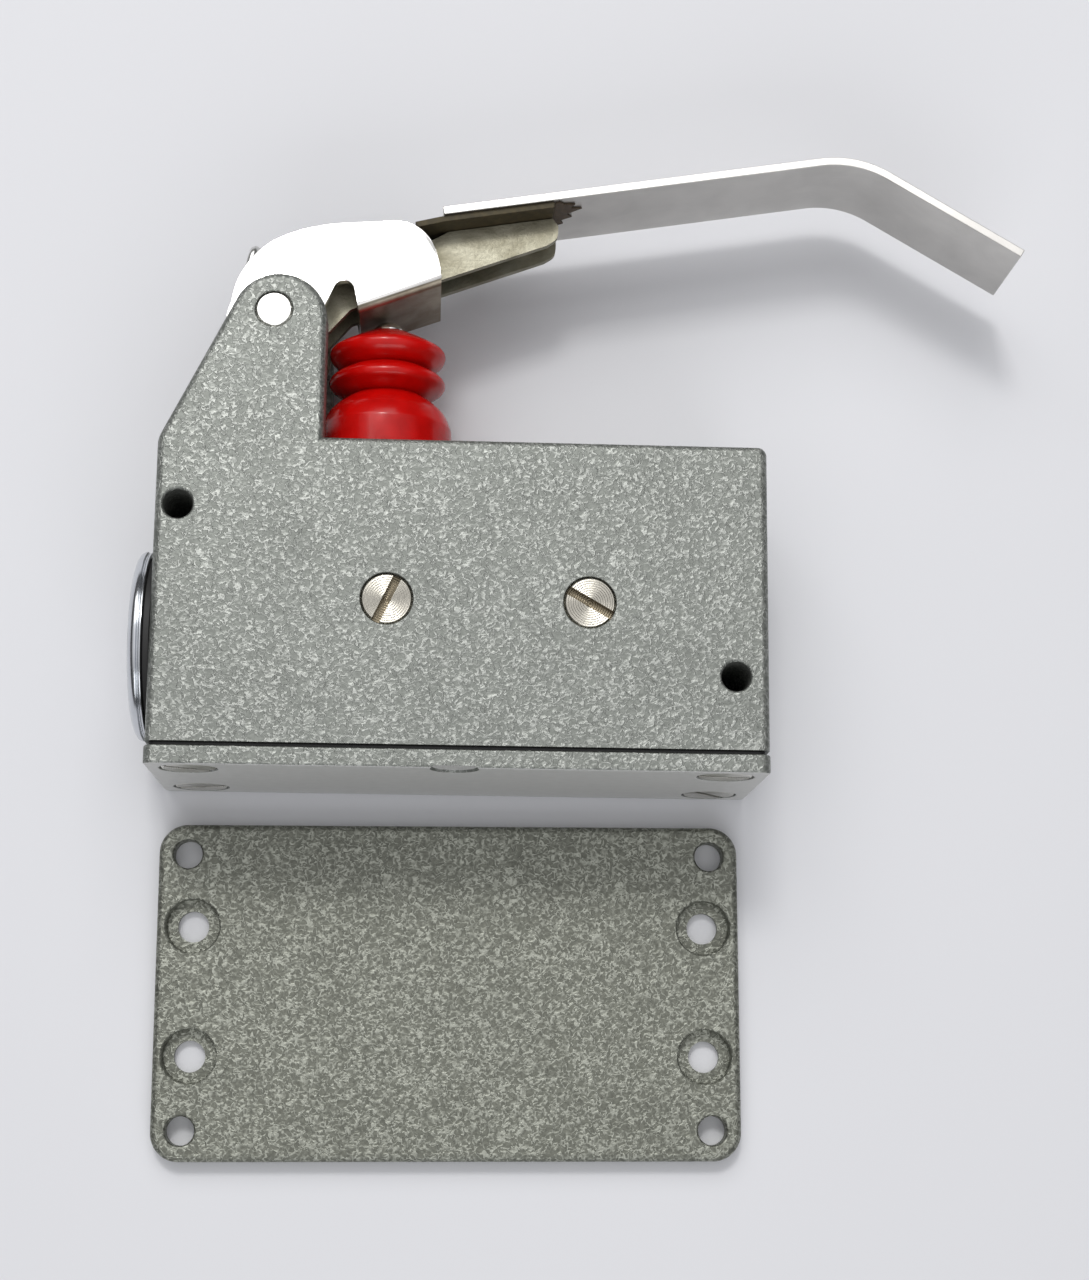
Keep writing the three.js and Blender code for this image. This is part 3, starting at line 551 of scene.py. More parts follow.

# %% [markdown]
# ## Turned screw heads
# A screw head faced on a lathe has fine rings, which stretch each highlight into a bow tie. The
# screw's tree stores where each point lies on its own screw. The finish turns the distance from
# the axis into rings, and the depth into a brown darkening, partly dirt and partly painted shade,
# in the slots and down the sides below the head's top.


# %% Turned finish
RING_RATE = 21.0
# Brown for the slots and the sides below the head's top: partly dirt, partly painted shade.
SLOT_DIRT_AND_SHADE = (0.20, 0.17, 0.12, 1)


def turned_metal(name, colour, rough):
    material, tree, shader = new_finish(name, Metallic=1.0, Roughness=rough)
    spot = add_node(tree, "ShaderNodeAttribute", attribute_name="spot").outputs["Vector"]
    x, y, height = add_node(tree, "ShaderNodeSeparateXYZ", {0: spot}).outputs
    squares = [compute(tree, "MULTIPLY", v, v) for v in (x, y)]
    reach = compute(tree, "SQRT", compute(tree, "ADD", *squares))
    sunk = compute(tree, "MULTIPLY", height, -1.0)
    rings = compute(tree, "SINE", compute(tree, "MULTIPLY", reach, RING_RATE))
    cloud = noise(tree, object_place(tree), 1.4, 3.0)
    clean = blend_colours(tree, band(tree, cloud, 0.35, 0.7), colour, darker(colour, 0.84))
    # Darker and browner with depth below the head's top: partly dirt, partly painted shade.
    dirt_and_shade = mixed(tree, band(tree, sunk, 0.25, 0.7), clean.outputs["Color"], SLOT_DIRT_AND_SHADE)
    dress(tree, shader, dirt_and_shade, None, rings, 0.03, 0.8)
    return material


TURNED_NICKEL = turned_metal("turned_nickel", (0.66, 0.63, 0.55, 1), 0.22)
TURNED_STEEL = turned_metal("turned_steel", (0.66, 0.65, 0.60, 1), 0.34)


# %% [markdown]
# ## Rubber, plastics and fibre
# The bellows is glossy red rubber that lets a little light in, so it glows at its thin edges. The
# gasket and washer are dull black rubber, and the inner parts are moulded or sheet plastic. The
# same recipe serves for the tarnish, the cover's thin paint, the residue and the table.


# %% Soft finishes
def moulded(name, colour, rough, mottle, grain, depth, **values):
    material, tree, shader = new_finish(name, **values)
    place = object_place(tree)
    speck = noise(tree, place, grain, 3.0)
    ramp = blend_colours(tree, band(tree, speck, 0.3, 0.7), darker(colour, 1 - mottle), colour)
    roughness = scaled(tree, speck, 0.12, rough - 0.06)
    dress(tree, shader, ramp.outputs["Color"], roughness, speck, depth, 0.5)
    return material


RED_RUBBER = moulded(
    "red_rubber", (0.56, 0.003, 0.002, 1), 0.20, 0.20, 2.2, 0.015,
    Subsurface_Weight=0.12, Subsurface_Scale=0.002, Specular_IOR_Level=0.32,
)
BLACK_RUBBER = moulded("black_rubber", (0.012, 0.012, 0.012, 1), 0.62, 0.3, 0.5, 0.02)
RED_PLASTIC = moulded("red_plastic", (0.42, 0.01, 0.01, 1), 0.35, 0.1, 1.5, 0.005)
PHENOLIC = moulded("brown_phenolic", (0.045, 0.028, 0.020, 1), 0.45, 0.3, 0.8, 0.01)
FIBRE = moulded("grey_fibre", (0.30, 0.32, 0.30, 1), 0.8, 0.2, 0.3, 0.02)
TARNISH = moulded("tarnished_steel", (0.075, 0.058, 0.026, 1), 0.62, 0.5, 0.9, 0.05, Metallic=0.3)
THIN_PAINT = moulded("thin_paint", (0.60, 0.60, 0.585, 1), 0.5, 0.08, 1.5, 0.01, Metallic=0.15)
RESIDUE = moulded("brown_residue", (0.07, 0.045, 0.022, 1), 0.6, 0.5, 0.6, 0.1)
TABLE = moulded("pale_table", (0.69, 0.695, 0.72, 1), 0.7, 0.01, 60.0, 0.0)
print("finishes:", len(bpy.data.materials))

# %% [markdown]
# ## The table top
# One large sheet at the height of the housing's rear face.

# %% Table top
table = solid("table_top", [(-2, -2, 0), (2, -2, 0), (2, 2, 0), (-2, 2, 0)], [(0, 1, 2, 3)])
table.data.materials.append(TABLE)

# %% [markdown]
# ## The housing
# A die casting: a rectangular box whose left end rises into a clevis, two ears with a gap between
# them that carry the lever's pin. It is one slab with soft edges, and the gap, the cavities and
# the holes are cut from it.


# %% Housing outline
EAR = {"x": -23.9, "y": 35.2, "radius": 6.1, "shoulder": 19.0, "web_top": 27.6}
EAR_GAP = (MID_Z - 8.0, MID_Z + 8.0)
CAST_EDGE = 1.1
WALL = 2.7


def housing_outline():
    reach_x = EAR["x"] + HALF_LENGTH
    reach_y = EAR["y"] - EAR["shoulder"]
    slope = math.atan2(reach_y, reach_x) + math.asin(EAR["radius"] / math.hypot(reach_x, reach_y))
    soft, corner = 1.6, 1.2
    top = (-HALF_LENGTH + soft * math.cos(slope), EAR["shoulder"] + soft * math.sin(slope))
    low = (-HALF_LENGTH, EAR["shoulder"] - soft)
    middle = (-HALF_LENGTH, EAR["shoulder"])
    points = [(-HALF_LENGTH, -HALF_HEIGHT - 4), (HALF_LENGTH, -HALF_HEIGHT - 4)]
    points += arc(HALF_LENGTH - corner, HALF_HEIGHT - corner, corner, 0, math.pi / 2, 10)
    points.append((EAR["x"] + EAR["radius"], HALF_HEIGHT))
    points += arc(EAR["x"], EAR["y"], EAR["radius"], 0, slope + math.pi / 2, 56)
    points += [top] + bezier(top, middle, middle, low, 10)
    return points


# %% [markdown]
# ### Cutting the housing
# The base end is cut off square, because the cover closes it. The two side screws sink into
# shallow seats, and the pin goes through both ears.

# %% Housing
MOUNT_HOLES = ((-35.7, 10.35), (34.4, -10.35))
MOUNT_RADIUS, PIN_BORE, PLUNGER_BORE, ENTRY_BORE = 1.85, 2.43, 5.1, 9.05
THREAD_RADIUS, EARTH_X = 1.6, 28.0
SIDE_SEAT_RADIUS, SIDE_SEAT_DEPTH, SIDE_SHANK_RADIUS = 3.33, 1.7, 2.05
SIDE_SCREW_PLACES = [centre(f"side_screw_{side}") for side in ("left", "right")]
COVER_SCREW_PLACES = [centre(f"cover_screw_{i}") for i in (1, 2, 3, 4)]
CAVITY_Z = (WALL, THICKNESS - WALL)
CEILING = HALF_HEIGHT - 3.0
ENTRY = centre("entry_plug")
BELOW = -HALF_HEIGHT - 0.1

housing = slab("housing_body", housing_outline(), 0, THICKNESS, CAST_EDGE, CAST_EDGE, 8)
gap_side = [(-14, HALF_HEIGHT), (-14, 50), (-50, 50), (-50, EAR["web_top"])]
gap_side += [(-31.2, EAR["web_top"]), (-27.5, HALF_HEIGHT)]
tools = [
    block("base_end", -50, 50, -50, -HALF_HEIGHT, -5, THICKNESS + 5),
    slab("gap", gap_side, *EAR_GAP),
    block("chamber", -30.2, 30.2, BELOW, CEILING, *CAVITY_Z),
    block("entry_room", -33.5, -30.1, -8, 6.5, *CAVITY_Z),
    block("entry_low", -33.5, -30.1, BELOW, -7.9, 7.6, 17.8),
    block("left_room", -32.2, -30.1, 6.4, CEILING, *CAVITY_Z),
    block("right_room", 30.1, 35.3, -6, CEILING, *CAVITY_Z),
    drill("y", (PLUNGER_X, 0, MID_Z), CEILING - 0.5, HALF_HEIGHT + 0.5, PLUNGER_BORE),
    drill("x", (0, ENTRY.y, MID_Z), -HALF_LENGTH - 1, -33.0, ENTRY_BORE, low_lip=0.3),
    drill("z", (PIVOT.x, PIVOT.y, 0), -1, THICKNESS + 1, PIN_BORE, 0.12, 0.12),
    drill("y", (EARTH_X, 0, MID_Z), CEILING - 0.5, CEILING + 2.2, THREAD_RADIUS),
]
for x, y in MOUNT_HOLES:
    tools.append(drill("z", (x, y, 0), -1, THICKNESS + 1, MOUNT_RADIUS, 0.4, 0.4))
for place in SIDE_SCREW_PLACES:
    spot, seat_floor = (place.x, place.y, 0), THICKNESS - SIDE_SEAT_DEPTH
    tools.append(drill("z", spot, 0.9, THICKNESS - 1, SIDE_SHANK_RADIUS))
    tools.append(drill("z", spot, seat_floor, THICKNESS + 1, SIDE_SEAT_RADIUS, 0, 0.10))
for place in COVER_SCREW_PLACES:
    tools.append(drill("y", (place.x, 0, place.z), BELOW, -12.8, THREAD_RADIUS))
carve(housing, *tools)


def on_ear_gap(a, b):
    above_roof = min(a.y, b.y) > HALF_HEIGHT + 0.05
    return at_levels(a, b, EAR_GAP) and above_roof and max(a.x, b.x) > -17.95


print("ear edges rounded:", round_edges(housing, on_ear_gap, 0.45, 4))
settle(housing, "housing_shell", PAINT, ["housing"], "base")

# %% [markdown]
# ## Base cover and gasket
# The cover is a flat casting with the same paint round its edges and a thin smooth coat on its
# outer face. It has four seats for screws and a shallow round dimple. A thin rubber gasket shows
# as a dark line between the cover and the housing.

# %% Base cover
def flat_piece(name, node, corner, low_edge, high_edge, steps):
    low, high = span(node)
    outline = rounded_rectangle(low.x, high.x, low.z, high.z, corner)
    return lay_flat(slab(name, outline, 0, high.y - low.y, low_edge, high_edge, steps), high.y)


COVER_FACE = span("base_cover")[0].y
COVER_SEAT = [(0, -1), (3.8, -1), (3.8, 0), (3.55 + 0.12, 0.05), (3.55, 0.2), (3.55, 0.45)]
COVER_SEAT += [(1.67, 1.75), (1.6, 1.75), (1.6, 4), (0, 4)]
DIMPLE = [(0, -1), (3.2, -1), (3.05, 0), (2.75, 0.3), (0, 0.42)]
cover = flat_piece("cover_body", "base_cover", 1.3, 0.30, 0.35, 4)
tools = [turned("dimple", DIMPLE, "y", (-0.54, COVER_FACE, 24.9 - 0.3), 64)]
for place in COVER_SCREW_PLACES:
    tools.append(turned("seat", COVER_SEAT, "y", (place.x, COVER_FACE, place.z), 64))
carve(cover, *tools)
settle(cover, "cover_shell", PAINT, ["base_cover"], "base")
cover.data.materials.append(THIN_PAINT)
for face in cover.data.polygons:
    if face.normal.y < -0.8:
        face.material_index = 1

# %% Gasket
gasket = flat_piece("gasket_body", "cover_gasket", 1.0, 0.12, 0.12, 3)
tools = [block("gasket_window", -30.2, 30.2, -22, -18, *CAVITY_Z)]
for place in COVER_SCREW_PLACES:
    tools.append(drill("y", (place.x, 0, place.z), -22, -18, 1.75))
carve(gasket, *tools)
settle(gasket, "cover_seal", BLACK_RUBBER, ["cover_gasket"], "base")

# %% [markdown]
# ## The loose mounting plate
# The plate screws to the base when the switch is used, and here it lies on the table. Its corner
# holes are plain, and the four inner holes are counterbored so the screw heads sink in.

# %% Mounting plate
PLATE_LENGTH, PLATE_WIDTH, PLATE_THICKNESS = 76.2, 43.3, 3.0
PLATE_TURN = 0.0087
CORNER_HOLE, SCREW_HOLE = (34.3, 17.75), (33.45, 8.35)
COUNTERBORE = [(0, 1.2), (2.1, 1.2), (3.35, 1.2), (3.5, 1.35), (3.5, 2.75), (3.56, 2.9)]
COUNTERBORE += [(3.72, 3.0), (4.0, 3.01), (4.0, 4.5), (0, 4.5)]
half_x, half_y = PLATE_LENGTH / 2, PLATE_WIDTH / 2
outline = rounded_rectangle(-half_x, half_x, -half_y, half_y, 3.7)
plate = slab("plate_body", outline, 0, PLATE_THICKNESS, 0.5, 0.9, 6)
tools = []
for side_x, side_y in ((-1, -1), (-1, 1), (1, -1), (1, 1)):
    corner_place = (side_x * CORNER_HOLE[0], side_y * CORNER_HOLE[1], 0)
    tools.append(drill("z", corner_place, -1, PLATE_THICKNESS + 1, 1.87, 0.2, 0.35))
    screw_place = (side_x * SCREW_HOLE[0], side_y * SCREW_HOLE[1], 0)
    tools.append(drill("z", screw_place, -1, PLATE_THICKNESS - 0.8, 2.03, 0.2))
    tools.append(turned("bore", COUNTERBORE, "z", screw_place, 64))
carve(plate, *tools)
middle = centre("mounting_plate")
plate.data.transform(Matrix.Translation((middle.x, middle.y, 0)) @ Matrix.Rotation(PLATE_TURN, 4, "Z"))
settle(plate, "plate_casting", PLATE_PAINT, ["mounting_plate"], "loose_plate")

# %% [markdown]
# ## Cable entry plug
# A shallow plated plug with a wide flange closes the cable entry. It is one profile spun round its
# axis, with a coin slot cut across its outer face.

# %% Entry plug and washer
plug_low, plug_high = span("entry_plug")
front, back = plug_low.x, plug_low.x + 1.9
plug_profile = [
    (0, front), (9.6, front), (10.9, front + 0.06), (11.6, front + 0.3), (12.05, front + 0.62),
    (12.2, front + 0.95), (12.2, front + 1.2), (11.95, front + 1.36), (11.95, front + 1.5),
    (12.1, front + 1.58), (12.1, back - 0.12), (11.9, back), (8.9, back), (8.9, plug_high.x - 0.3),
    (8.6, plug_high.x), (7.0, plug_high.x), (6.9, plug_high.x - 0.1), (6.9, back + 0.6), (0, back + 0.6),
]
plug = turned("plug_body", plug_profile, "x", (0, ENTRY.y, MID_Z), 128)
carve(plug, block("coin_slot", front - 1, front + 1.0, ENTRY.y - 1.0, ENTRY.y + 1.0, 5.2, 20.2))
soften(plug, 0.08, 60)
settle(plug, "entry_cap", CHROME, ["entry_plug"], "base", 50)

washer_low, washer_high = span("entry_washer")
washer_profile = [(9.0, washer_low.x), (11.4, washer_low.x), (11.5, washer_low.x + 0.1)]
washer_profile += [(11.5, washer_high.x - 0.1), (11.4, washer_high.x), (9.0, washer_high.x)]
washer = turned("washer_body", washer_profile, "x", (0, ENTRY.y, MID_Z), 96, ring=True)
settle(washer, "entry_seal", BLACK_RUBBER, ["entry_washer"], "base")

# %% [markdown]
# ## Pivot pin
# The lever turns on one ground pin, flush with both ears. Only its ends show, each with a small
# chamfer that throws a dark ring.

# %% Pivot pin
PIN_RADIUS, PIN_CHAMFER = 2.35, 0.25
pin_back, pin_front = levels("pivot_pin")
end_radius = PIN_RADIUS - PIN_CHAMFER
pin_profile = [(0, pin_back), (end_radius, pin_back), (PIN_RADIUS, pin_back + PIN_CHAMFER)]
pin_profile += [(PIN_RADIUS, pin_front - PIN_CHAMFER), (end_radius, pin_front), (0, pin_front + 0.04)]
pin = turned("pin_body", pin_profile, "z", (PIVOT.x, PIVOT.y, 0), 96)
settle(pin, "lever_pin", NICKEL, ["pivot_pin"], "base")

# %% [markdown]
# ## Lever head
# A channel of bright nickel-plated sheet, open upwards. Two side plates run from round lobes on
# the pin to a blunt end, and a floor between them presses on the plunger. The outside folds are
# bevelled to the radius that a press brake leaves. The floor's underside, which faces down, its
# folds and the sheared edges get a darker copy of the nickel: painted shade.

# %% Lever head
HEAD_Z = levels("lever_head")
HEAD_SHEET, HEAD_LOBE = 1.2, 6.5
WEB_SLOPE = math.radians(20.6)
WEB_DROP = 2.0
WEB_START, HEAD_END = -13.9, -3.3


def underside(x, lift=0.0):
    return PIVOT.y + (x - PIVOT.x) * math.tan(WEB_SLOPE) - (WEB_DROP - lift) / math.cos(WEB_SLOPE)


def head_outline():
    points = [(HEAD_END, underside(HEAD_END)), (-3.5, 44.4)]
    points += bezier((-3.5, 44.4), (-4.0, 47.6), (-5.6, 50.6), (-9.2, 50.65))
    points.append((-16.1, 50.15))
    points += bezier((-16.1, 50.15), (-21.3, 49.6), (-24.9, 48.1), (-26.9, 46.2))
    points += bezier((-26.9, 46.2), (-29.2, 43.9), (-30.2, 41.6), (-30.5, 38.8))
    start = math.atan2(38.8 - PIVOT.y, -30.5 - PIVOT.x)
    points += arc(PIVOT.x, PIVOT.y, HEAD_LOBE, start + 0.02, 2 * math.pi + 0.36, 44)
    points.append((-17.4, 41.0))
    points += bezier((-17.4, 41.0), (-17.1, 42.5), (-14.9, 42.7), (-14.6, 41.1), 12)
    points.append((WEB_START, underside(WEB_START)))
    return points


def folded_channel(name, side, web, heights, sheet):
    low, high = heights
    channel = slab(f"{name}_front", side, high - sheet, high)
    weld(channel, slab(f"{name}_back", side, low, low + sheet), slab(f"{name}_web", web, low, high))
    return carve(channel, drill("z", (PIVOT.x, PIVOT.y, 0), -1, 30, PIN_BORE))


floor_start = WEB_START - 0.35
floor = [(WEB_START, underside(WEB_START)), (HEAD_END, underside(HEAD_END))]
floor += [(x, underside(x, HEAD_SHEET)) for x in (HEAD_END, floor_start)]
head = folded_channel("head", head_outline(), floor, HEAD_Z, HEAD_SHEET)


def outside_head_fold(a, b):
    on_floor = max(abs(p.y - underside(p.x)) for p in (a, b)) < 2e-3
    return at_levels(a, b, HEAD_Z) and on_floor


print("head folds:", round_edges(head, outside_head_fold, 2.0, 8))
soften(head, 0.17, 45)
settle(head, "lever_head_channel", NICKEL, ["lever_head"], "lever", 40)
# The floor's down-facing underside and the slanted edge faces get the darker nickel as painted shade.
head.data.materials.append(SHADED_NICKEL)
web_faces = Vector((math.sin(WEB_SLOPE), -math.cos(WEB_SLOPE), 0))
for face in head.data.polygons:
    shaded_floor = face.normal.dot(web_faces) > 0.35 and face.center.x > WEB_START * MM
    shaded_edge = 0.2 < face.normal.z < 0.9
    face.material_index = 1 if shaded_floor or shaded_edge else 0

# %% [markdown]
# ## Lever arm and support plate
# Inside the head sits a narrower channel of rougher plating, open downwards. It reaches out under
# the leaf, with a short support plate riveted between them.

# %% Lever arm
LEAF_SLOPE = math.radians(9.5)
LEAF_START = (-3.3, 53.0)
LEAF_SHEET, SUPPORT_SHEET, ARM_SHEET = 1.1, 0.8, 1.0
ARM_TIP, ARM_LOBE = 12.2, 5.2
ARM_DEPTH = LEAF_SHEET + SUPPORT_SHEET + 0.1
ARM_Z = levels("lever_arm")


def below_leaf(x, depth):
    return LEAF_START[1] + (x - LEAF_START[0]) * math.tan(LEAF_SLOPE) - depth / math.cos(LEAF_SLOPE)


def arm_top(lower):
    points = [(ARM_TIP - 0.8, below_leaf(ARM_TIP - 0.8, ARM_DEPTH + lower))]
    points += [(-2.4, below_leaf(-2.4, ARM_DEPTH + lower)), (-7.3, 48.35 - lower), (-19.5, 46.3 - lower)]
    return points


def arm_outline():
    lift = WEB_DROP
    start = (ARM_TIP - 1.6, underside(ARM_TIP - 1.6, lift))
    nose = (ARM_TIP, underside(ARM_TIP, lift) + 0.4)
    tip = (ARM_TIP, below_leaf(ARM_TIP, ARM_DEPTH + 1.2))
    points = [(-15.2, underside(-15.2, lift)), start] + bezier(start, nose, nose, tip, 10) + arm_top(0)
    points += bezier((-19.5, 46.3), (-24, 45.2), (-29, 41.5), (PIVOT.x - ARM_LOBE, PIVOT.y))
    points += arc(PIVOT.x, PIVOT.y, ARM_LOBE, math.pi + 0.02, 2 * math.pi - 0.3, 30)
    return points


TOP_CORNERS = arm_top(0)
roof = TOP_CORNERS + arm_top(ARM_SHEET)[::-1]
arm = folded_channel("arm", arm_outline(), roof, ARM_Z, ARM_SHEET)


def outside_arm_fold(a, b):
    ends = [min(math.hypot(p.x - x, p.y - y) for x, y in TOP_CORNERS) for p in (a, b)]
    return at_levels(a, b, ARM_Z) and max(ends) < 2e-3


print("arm folds:", round_edges(arm, outside_arm_fold, 0.9, 6))
soften(arm, 0.12, 45)
settle(arm, "lever_arm_channel", WORN_NICKEL, ["lever_arm"], "lever", 40)

# %% Support plate
SUPPORT_END = 11.5
upper = LEAF_SHEET + 0.03
lower = upper + SUPPORT_SHEET
outside = [(-6.4, 50.25), (-2.9, below_leaf(-2.9, lower)), (SUPPORT_END, below_leaf(SUPPORT_END, lower))]
outside += [(SUPPORT_END, below_leaf(SUPPORT_END, upper)), (-3.2, below_leaf(-3.2, upper)), (-6.9, 50.95)]
inside = [(-19.0, 46.65), (-7.6, 48.6), (-5.6, 50.3), (-6.2, 51.0), (-8.0, 49.45), (-19.0, 47.5)]
support = slab("support_outside", outside, *levels("leaf_support"))
weld(support, slab("support_inside", inside, HEAD_Z[0] + 1.45, HEAD_Z[1] - 1.45))
soften(support, 0.12, 40)
settle(support, "leaf_support_plate", TARNISH, ["leaf_support"], "lever", 40)

# %% [markdown]
# ## The leaf
# A long strip of aluminium that the machine's cam pushes on. Its side view is two straight runs
# with an arc between them, extruded across its width.

# %% Leaf
LEAF_END = (74.3, 49.2)
BEND_RADIUS = 14.0
LEAF_FALL = math.radians(30.5)


def leaf_outline():
    rise, drop = math.tan(LEAF_SLOPE), math.tan(LEAF_FALL)
    x0, y0 = LEAF_START
    x1, y1 = LEAF_END
    corner_x = (y1 + drop * x1 - y0 + rise * x0) / (rise + drop)
    corner_y = y0 + rise * (corner_x - x0)
    back = BEND_RADIUS * math.tan((LEAF_SLOPE + LEAF_FALL) / 2)
    cx = corner_x - back * math.cos(LEAF_SLOPE) + BEND_RADIUS * math.sin(LEAF_SLOPE)
    cy = corner_y - back * math.sin(LEAF_SLOPE) - BEND_RADIUS * math.cos(LEAF_SLOPE)
    start, end = math.pi / 2 + LEAF_SLOPE, math.pi / 2 - LEAF_FALL
    top = [LEAF_START] + arc(cx, cy, BEND_RADIUS, start, end, 28) + [LEAF_END]
    under_end = (x1 - LEAF_SHEET * math.sin(LEAF_FALL), y1 - LEAF_SHEET * math.cos(LEAF_FALL))
    under_start = (x0 + LEAF_SHEET * math.sin(LEAF_SLOPE), y0 - LEAF_SHEET * math.cos(LEAF_SLOPE))
    under = [under_end] + arc(cx, cy, BEND_RADIUS - LEAF_SHEET, end, start, 28) + [under_start]
    return (top + under)[::-1]


leaf = slab("leaf_body", leaf_outline(), *levels("leaf"))
soften(leaf, 0.12, 40, 3)
settle(leaf, "leaf_strip", ALUMINIUM, ["leaf"], "lever", 40)

# %% [markdown]
# ## Growing parts with Geometry Nodes
# Screws, rivets and springs are Geometry Nodes trees with named sizes. The object that carries a
# tree holds only points, one for each copy, and a stored turn for each. The tree's result is then
# made a plain mesh.


# %% Geometry Nodes helpers
def new_tree(name, sizes):
    tree = bpy.data.node_groups.new(name, "GeometryNodeTree")
    tree.interface.new_socket("Geometry", in_out="INPUT", socket_type="NodeSocketGeometry")
    tree.interface.new_socket("Geometry", in_out="OUTPUT", socket_type="NodeSocketGeometry")
    for label, value in sizes.items():
        socket = tree.interface.new_socket(label, in_out="INPUT", socket_type="NodeSocketFloat")
        socket.default_value = value
    tree.interface.new_socket("Finish", in_out="INPUT", socket_type="NodeSocketMaterial")
    return tree, add_node(tree, "NodeGroupInput").outputs


def close_tree(tree, given, geometry):
    real = add_node(tree, "GeometryNodeRealizeInstances", {"Geometry": geometry})
    inputs = {"Geometry": real.outputs[0], "Material": given["Finish"]}
    last = add_node(tree, "GeometryNodeSetMaterial", inputs)
    add_node(tree, "NodeGroupOutput", {0: last.outputs[0]})
    return tree


def grow(name, points, turns, tree, finish, edges=(), **sizes):
    mesh = bpy.data.meshes.new(name)
    mesh.from_pydata(points, edges, [])
    if turns:
        stored = mesh.attributes.new("turn", "FLOAT_VECTOR", "POINT")
        stored.data.foreach_set("vector", [value for row in turns for value in row])
    thing = placed(name, mesh)
    step = thing.modifiers.new(name, "NODES")
    step.node_group = tree
    for item in tree.interface.items_tree:
        if item.in_out == "INPUT" and item.name in sizes:
            step[item.identifier] = float(sizes[item.name])
        if item.in_out == "INPUT" and item.name == "Finish":
            step[item.identifier] = finish
    return made_plain(thing)


def copies(tree, given, shape):
    turn = add_node(tree, "GeometryNodeInputNamedAttribute", {"Name": "turn"}, data_type="FLOAT_VECTOR")
    spin = add_node(tree, "FunctionNodeEulerToRotation", {0: turn.outputs[0]})
    inputs = {"Points": given["Geometry"], "Instance": shape, "Rotation": spin.outputs[0]}
    return add_node(tree, "GeometryNodeInstanceOnPoints", inputs).outputs[0]


def raised(tree, geometry, height):
    lift = add_node(tree, "ShaderNodeCombineXYZ", {"Z": height}).outputs[0]
    inputs = {"Geometry": geometry, "Translation": lift}
    return add_node(tree, "GeometryNodeTransform", inputs).outputs[0]


def cone(tree, top, bottom, depth):
    inputs = {"Vertices": 72, "Radius Top": top, "Radius Bottom": bottom, "Depth": depth}
    return add_node(tree, "GeometryNodeMeshCone", inputs).outputs[0]


def cylinder(tree, radius, depth):
    inputs = {"Vertices": 48, "Radius": radius, "Depth": depth}
    return add_node(tree, "GeometryNodeMeshCylinder", inputs).outputs[0]


def fused(tree, *parts):
    union = add_node(tree, "GeometryNodeMeshBoolean", operation="UNION", solver="EXACT")
    for part in parts:
        tree.links.new(part, union.inputs["Mesh 2"])
    return union.outputs["Mesh"]


def swept(tree, path, wire, sides):
    rim = add_node(tree, "GeometryNodeCurvePrimitiveCircle", {"Resolution": sides, "Radius": wire})
    inputs = {"Curve": path, "Profile Curve": rim.outputs[0], "Fill Caps": True}
    return add_node(tree, "GeometryNodeCurveToMesh", inputs).outputs[0]


# %% [markdown]
# ### The slotted screw
# Head, chamfer and shank are fused, and a bar is cut out of the top for the screwdriver. The screw
# stands along Z with the top of its head at zero. Each point keeps its place on the screw for the
# turned finish.

# %% Slotted screw tree
CHAMFER = 0.22


def screw_body(tree, given):
    outside, height, length = given["Head radius"], given["Head height"], given["Length"]
    rim = compute(tree, "SUBTRACT", outside, CHAMFER)
    cap = raised(tree, cone(tree, rim, outside, CHAMFER), -CHAMFER)
    depth = compute(tree, "SUBTRACT", height, CHAMFER)
    head = cone(tree, outside, given["Seat radius"], depth)
    head = raised(tree, head, compute(tree, "MULTIPLY", height, -1.0))
    sink = compute(tree, "MULTIPLY", compute(tree, "ADD", length, 1.0), -0.5)
    shank = raised(tree, cylinder(tree, given["Shank radius"], length), sink)
    return fused(tree, cap, head, shank)


def screw_tree():
    sizes = {"Head radius": 3.0, "Head height": 1.6, "Seat radius": 3.0, "Shank radius": 1.5}
    sizes.update({"Length": 8.0, "Slot width": 1.0, "Slot depth": 0.9})
    tree, given = new_tree("slotted_screw", sizes)
    size = add_node(tree, "ShaderNodeCombineXYZ", {"X": 12.0, "Y": given["Slot width"]})
    tree.links.new(compute(tree, "MULTIPLY", given["Slot depth"], 2.0), size.inputs["Z"])
    bar = add_node(tree, "GeometryNodeMeshCube", {"Size": size.outputs[0]}).outputs[0]
    inputs = {"Mesh 1": screw_body(tree, given), "Mesh 2": bar}
    slotted = add_node(tree, "GeometryNodeMeshBoolean", inputs, operation="DIFFERENCE", solver="EXACT")
    place = add_node(tree, "GeometryNodeInputPosition").outputs[0]
    inputs = {"Geometry": slotted.outputs["Mesh"], "Name": "spot", "Value": place}
    kept = add_node(tree, "GeometryNodeStoreNamedAttribute", inputs, data_type="FLOAT_VECTOR")
    return close_tree(tree, given, copies(tree, given, kept.outputs[0]))


SCREW = screw_tree()

# %% Screws in place
points = [(place.x, place.y, THICKNESS - 0.1) for place in SIDE_SCREW_PLACES]
side_screws = grow(
    "side_screw_pair", points, [(0, 0, 1.13), (0, 0, -0.52)], SCREW, TURNED_NICKEL,
    **{"Head radius": 3.25, "Head height": 1.55, "Seat radius": 3.25, "Shank radius": 1.95,
       "Length": 23.1, "Slot width": 1.1, "Slot depth": 0.95},
)
soften(side_screws, 0.07, 50)
nodes = ["side_screw_left", "side_screw_right"]
settle(side_screws, "side_screw_pair", TURNED_NICKEL, nodes, "base", 40)

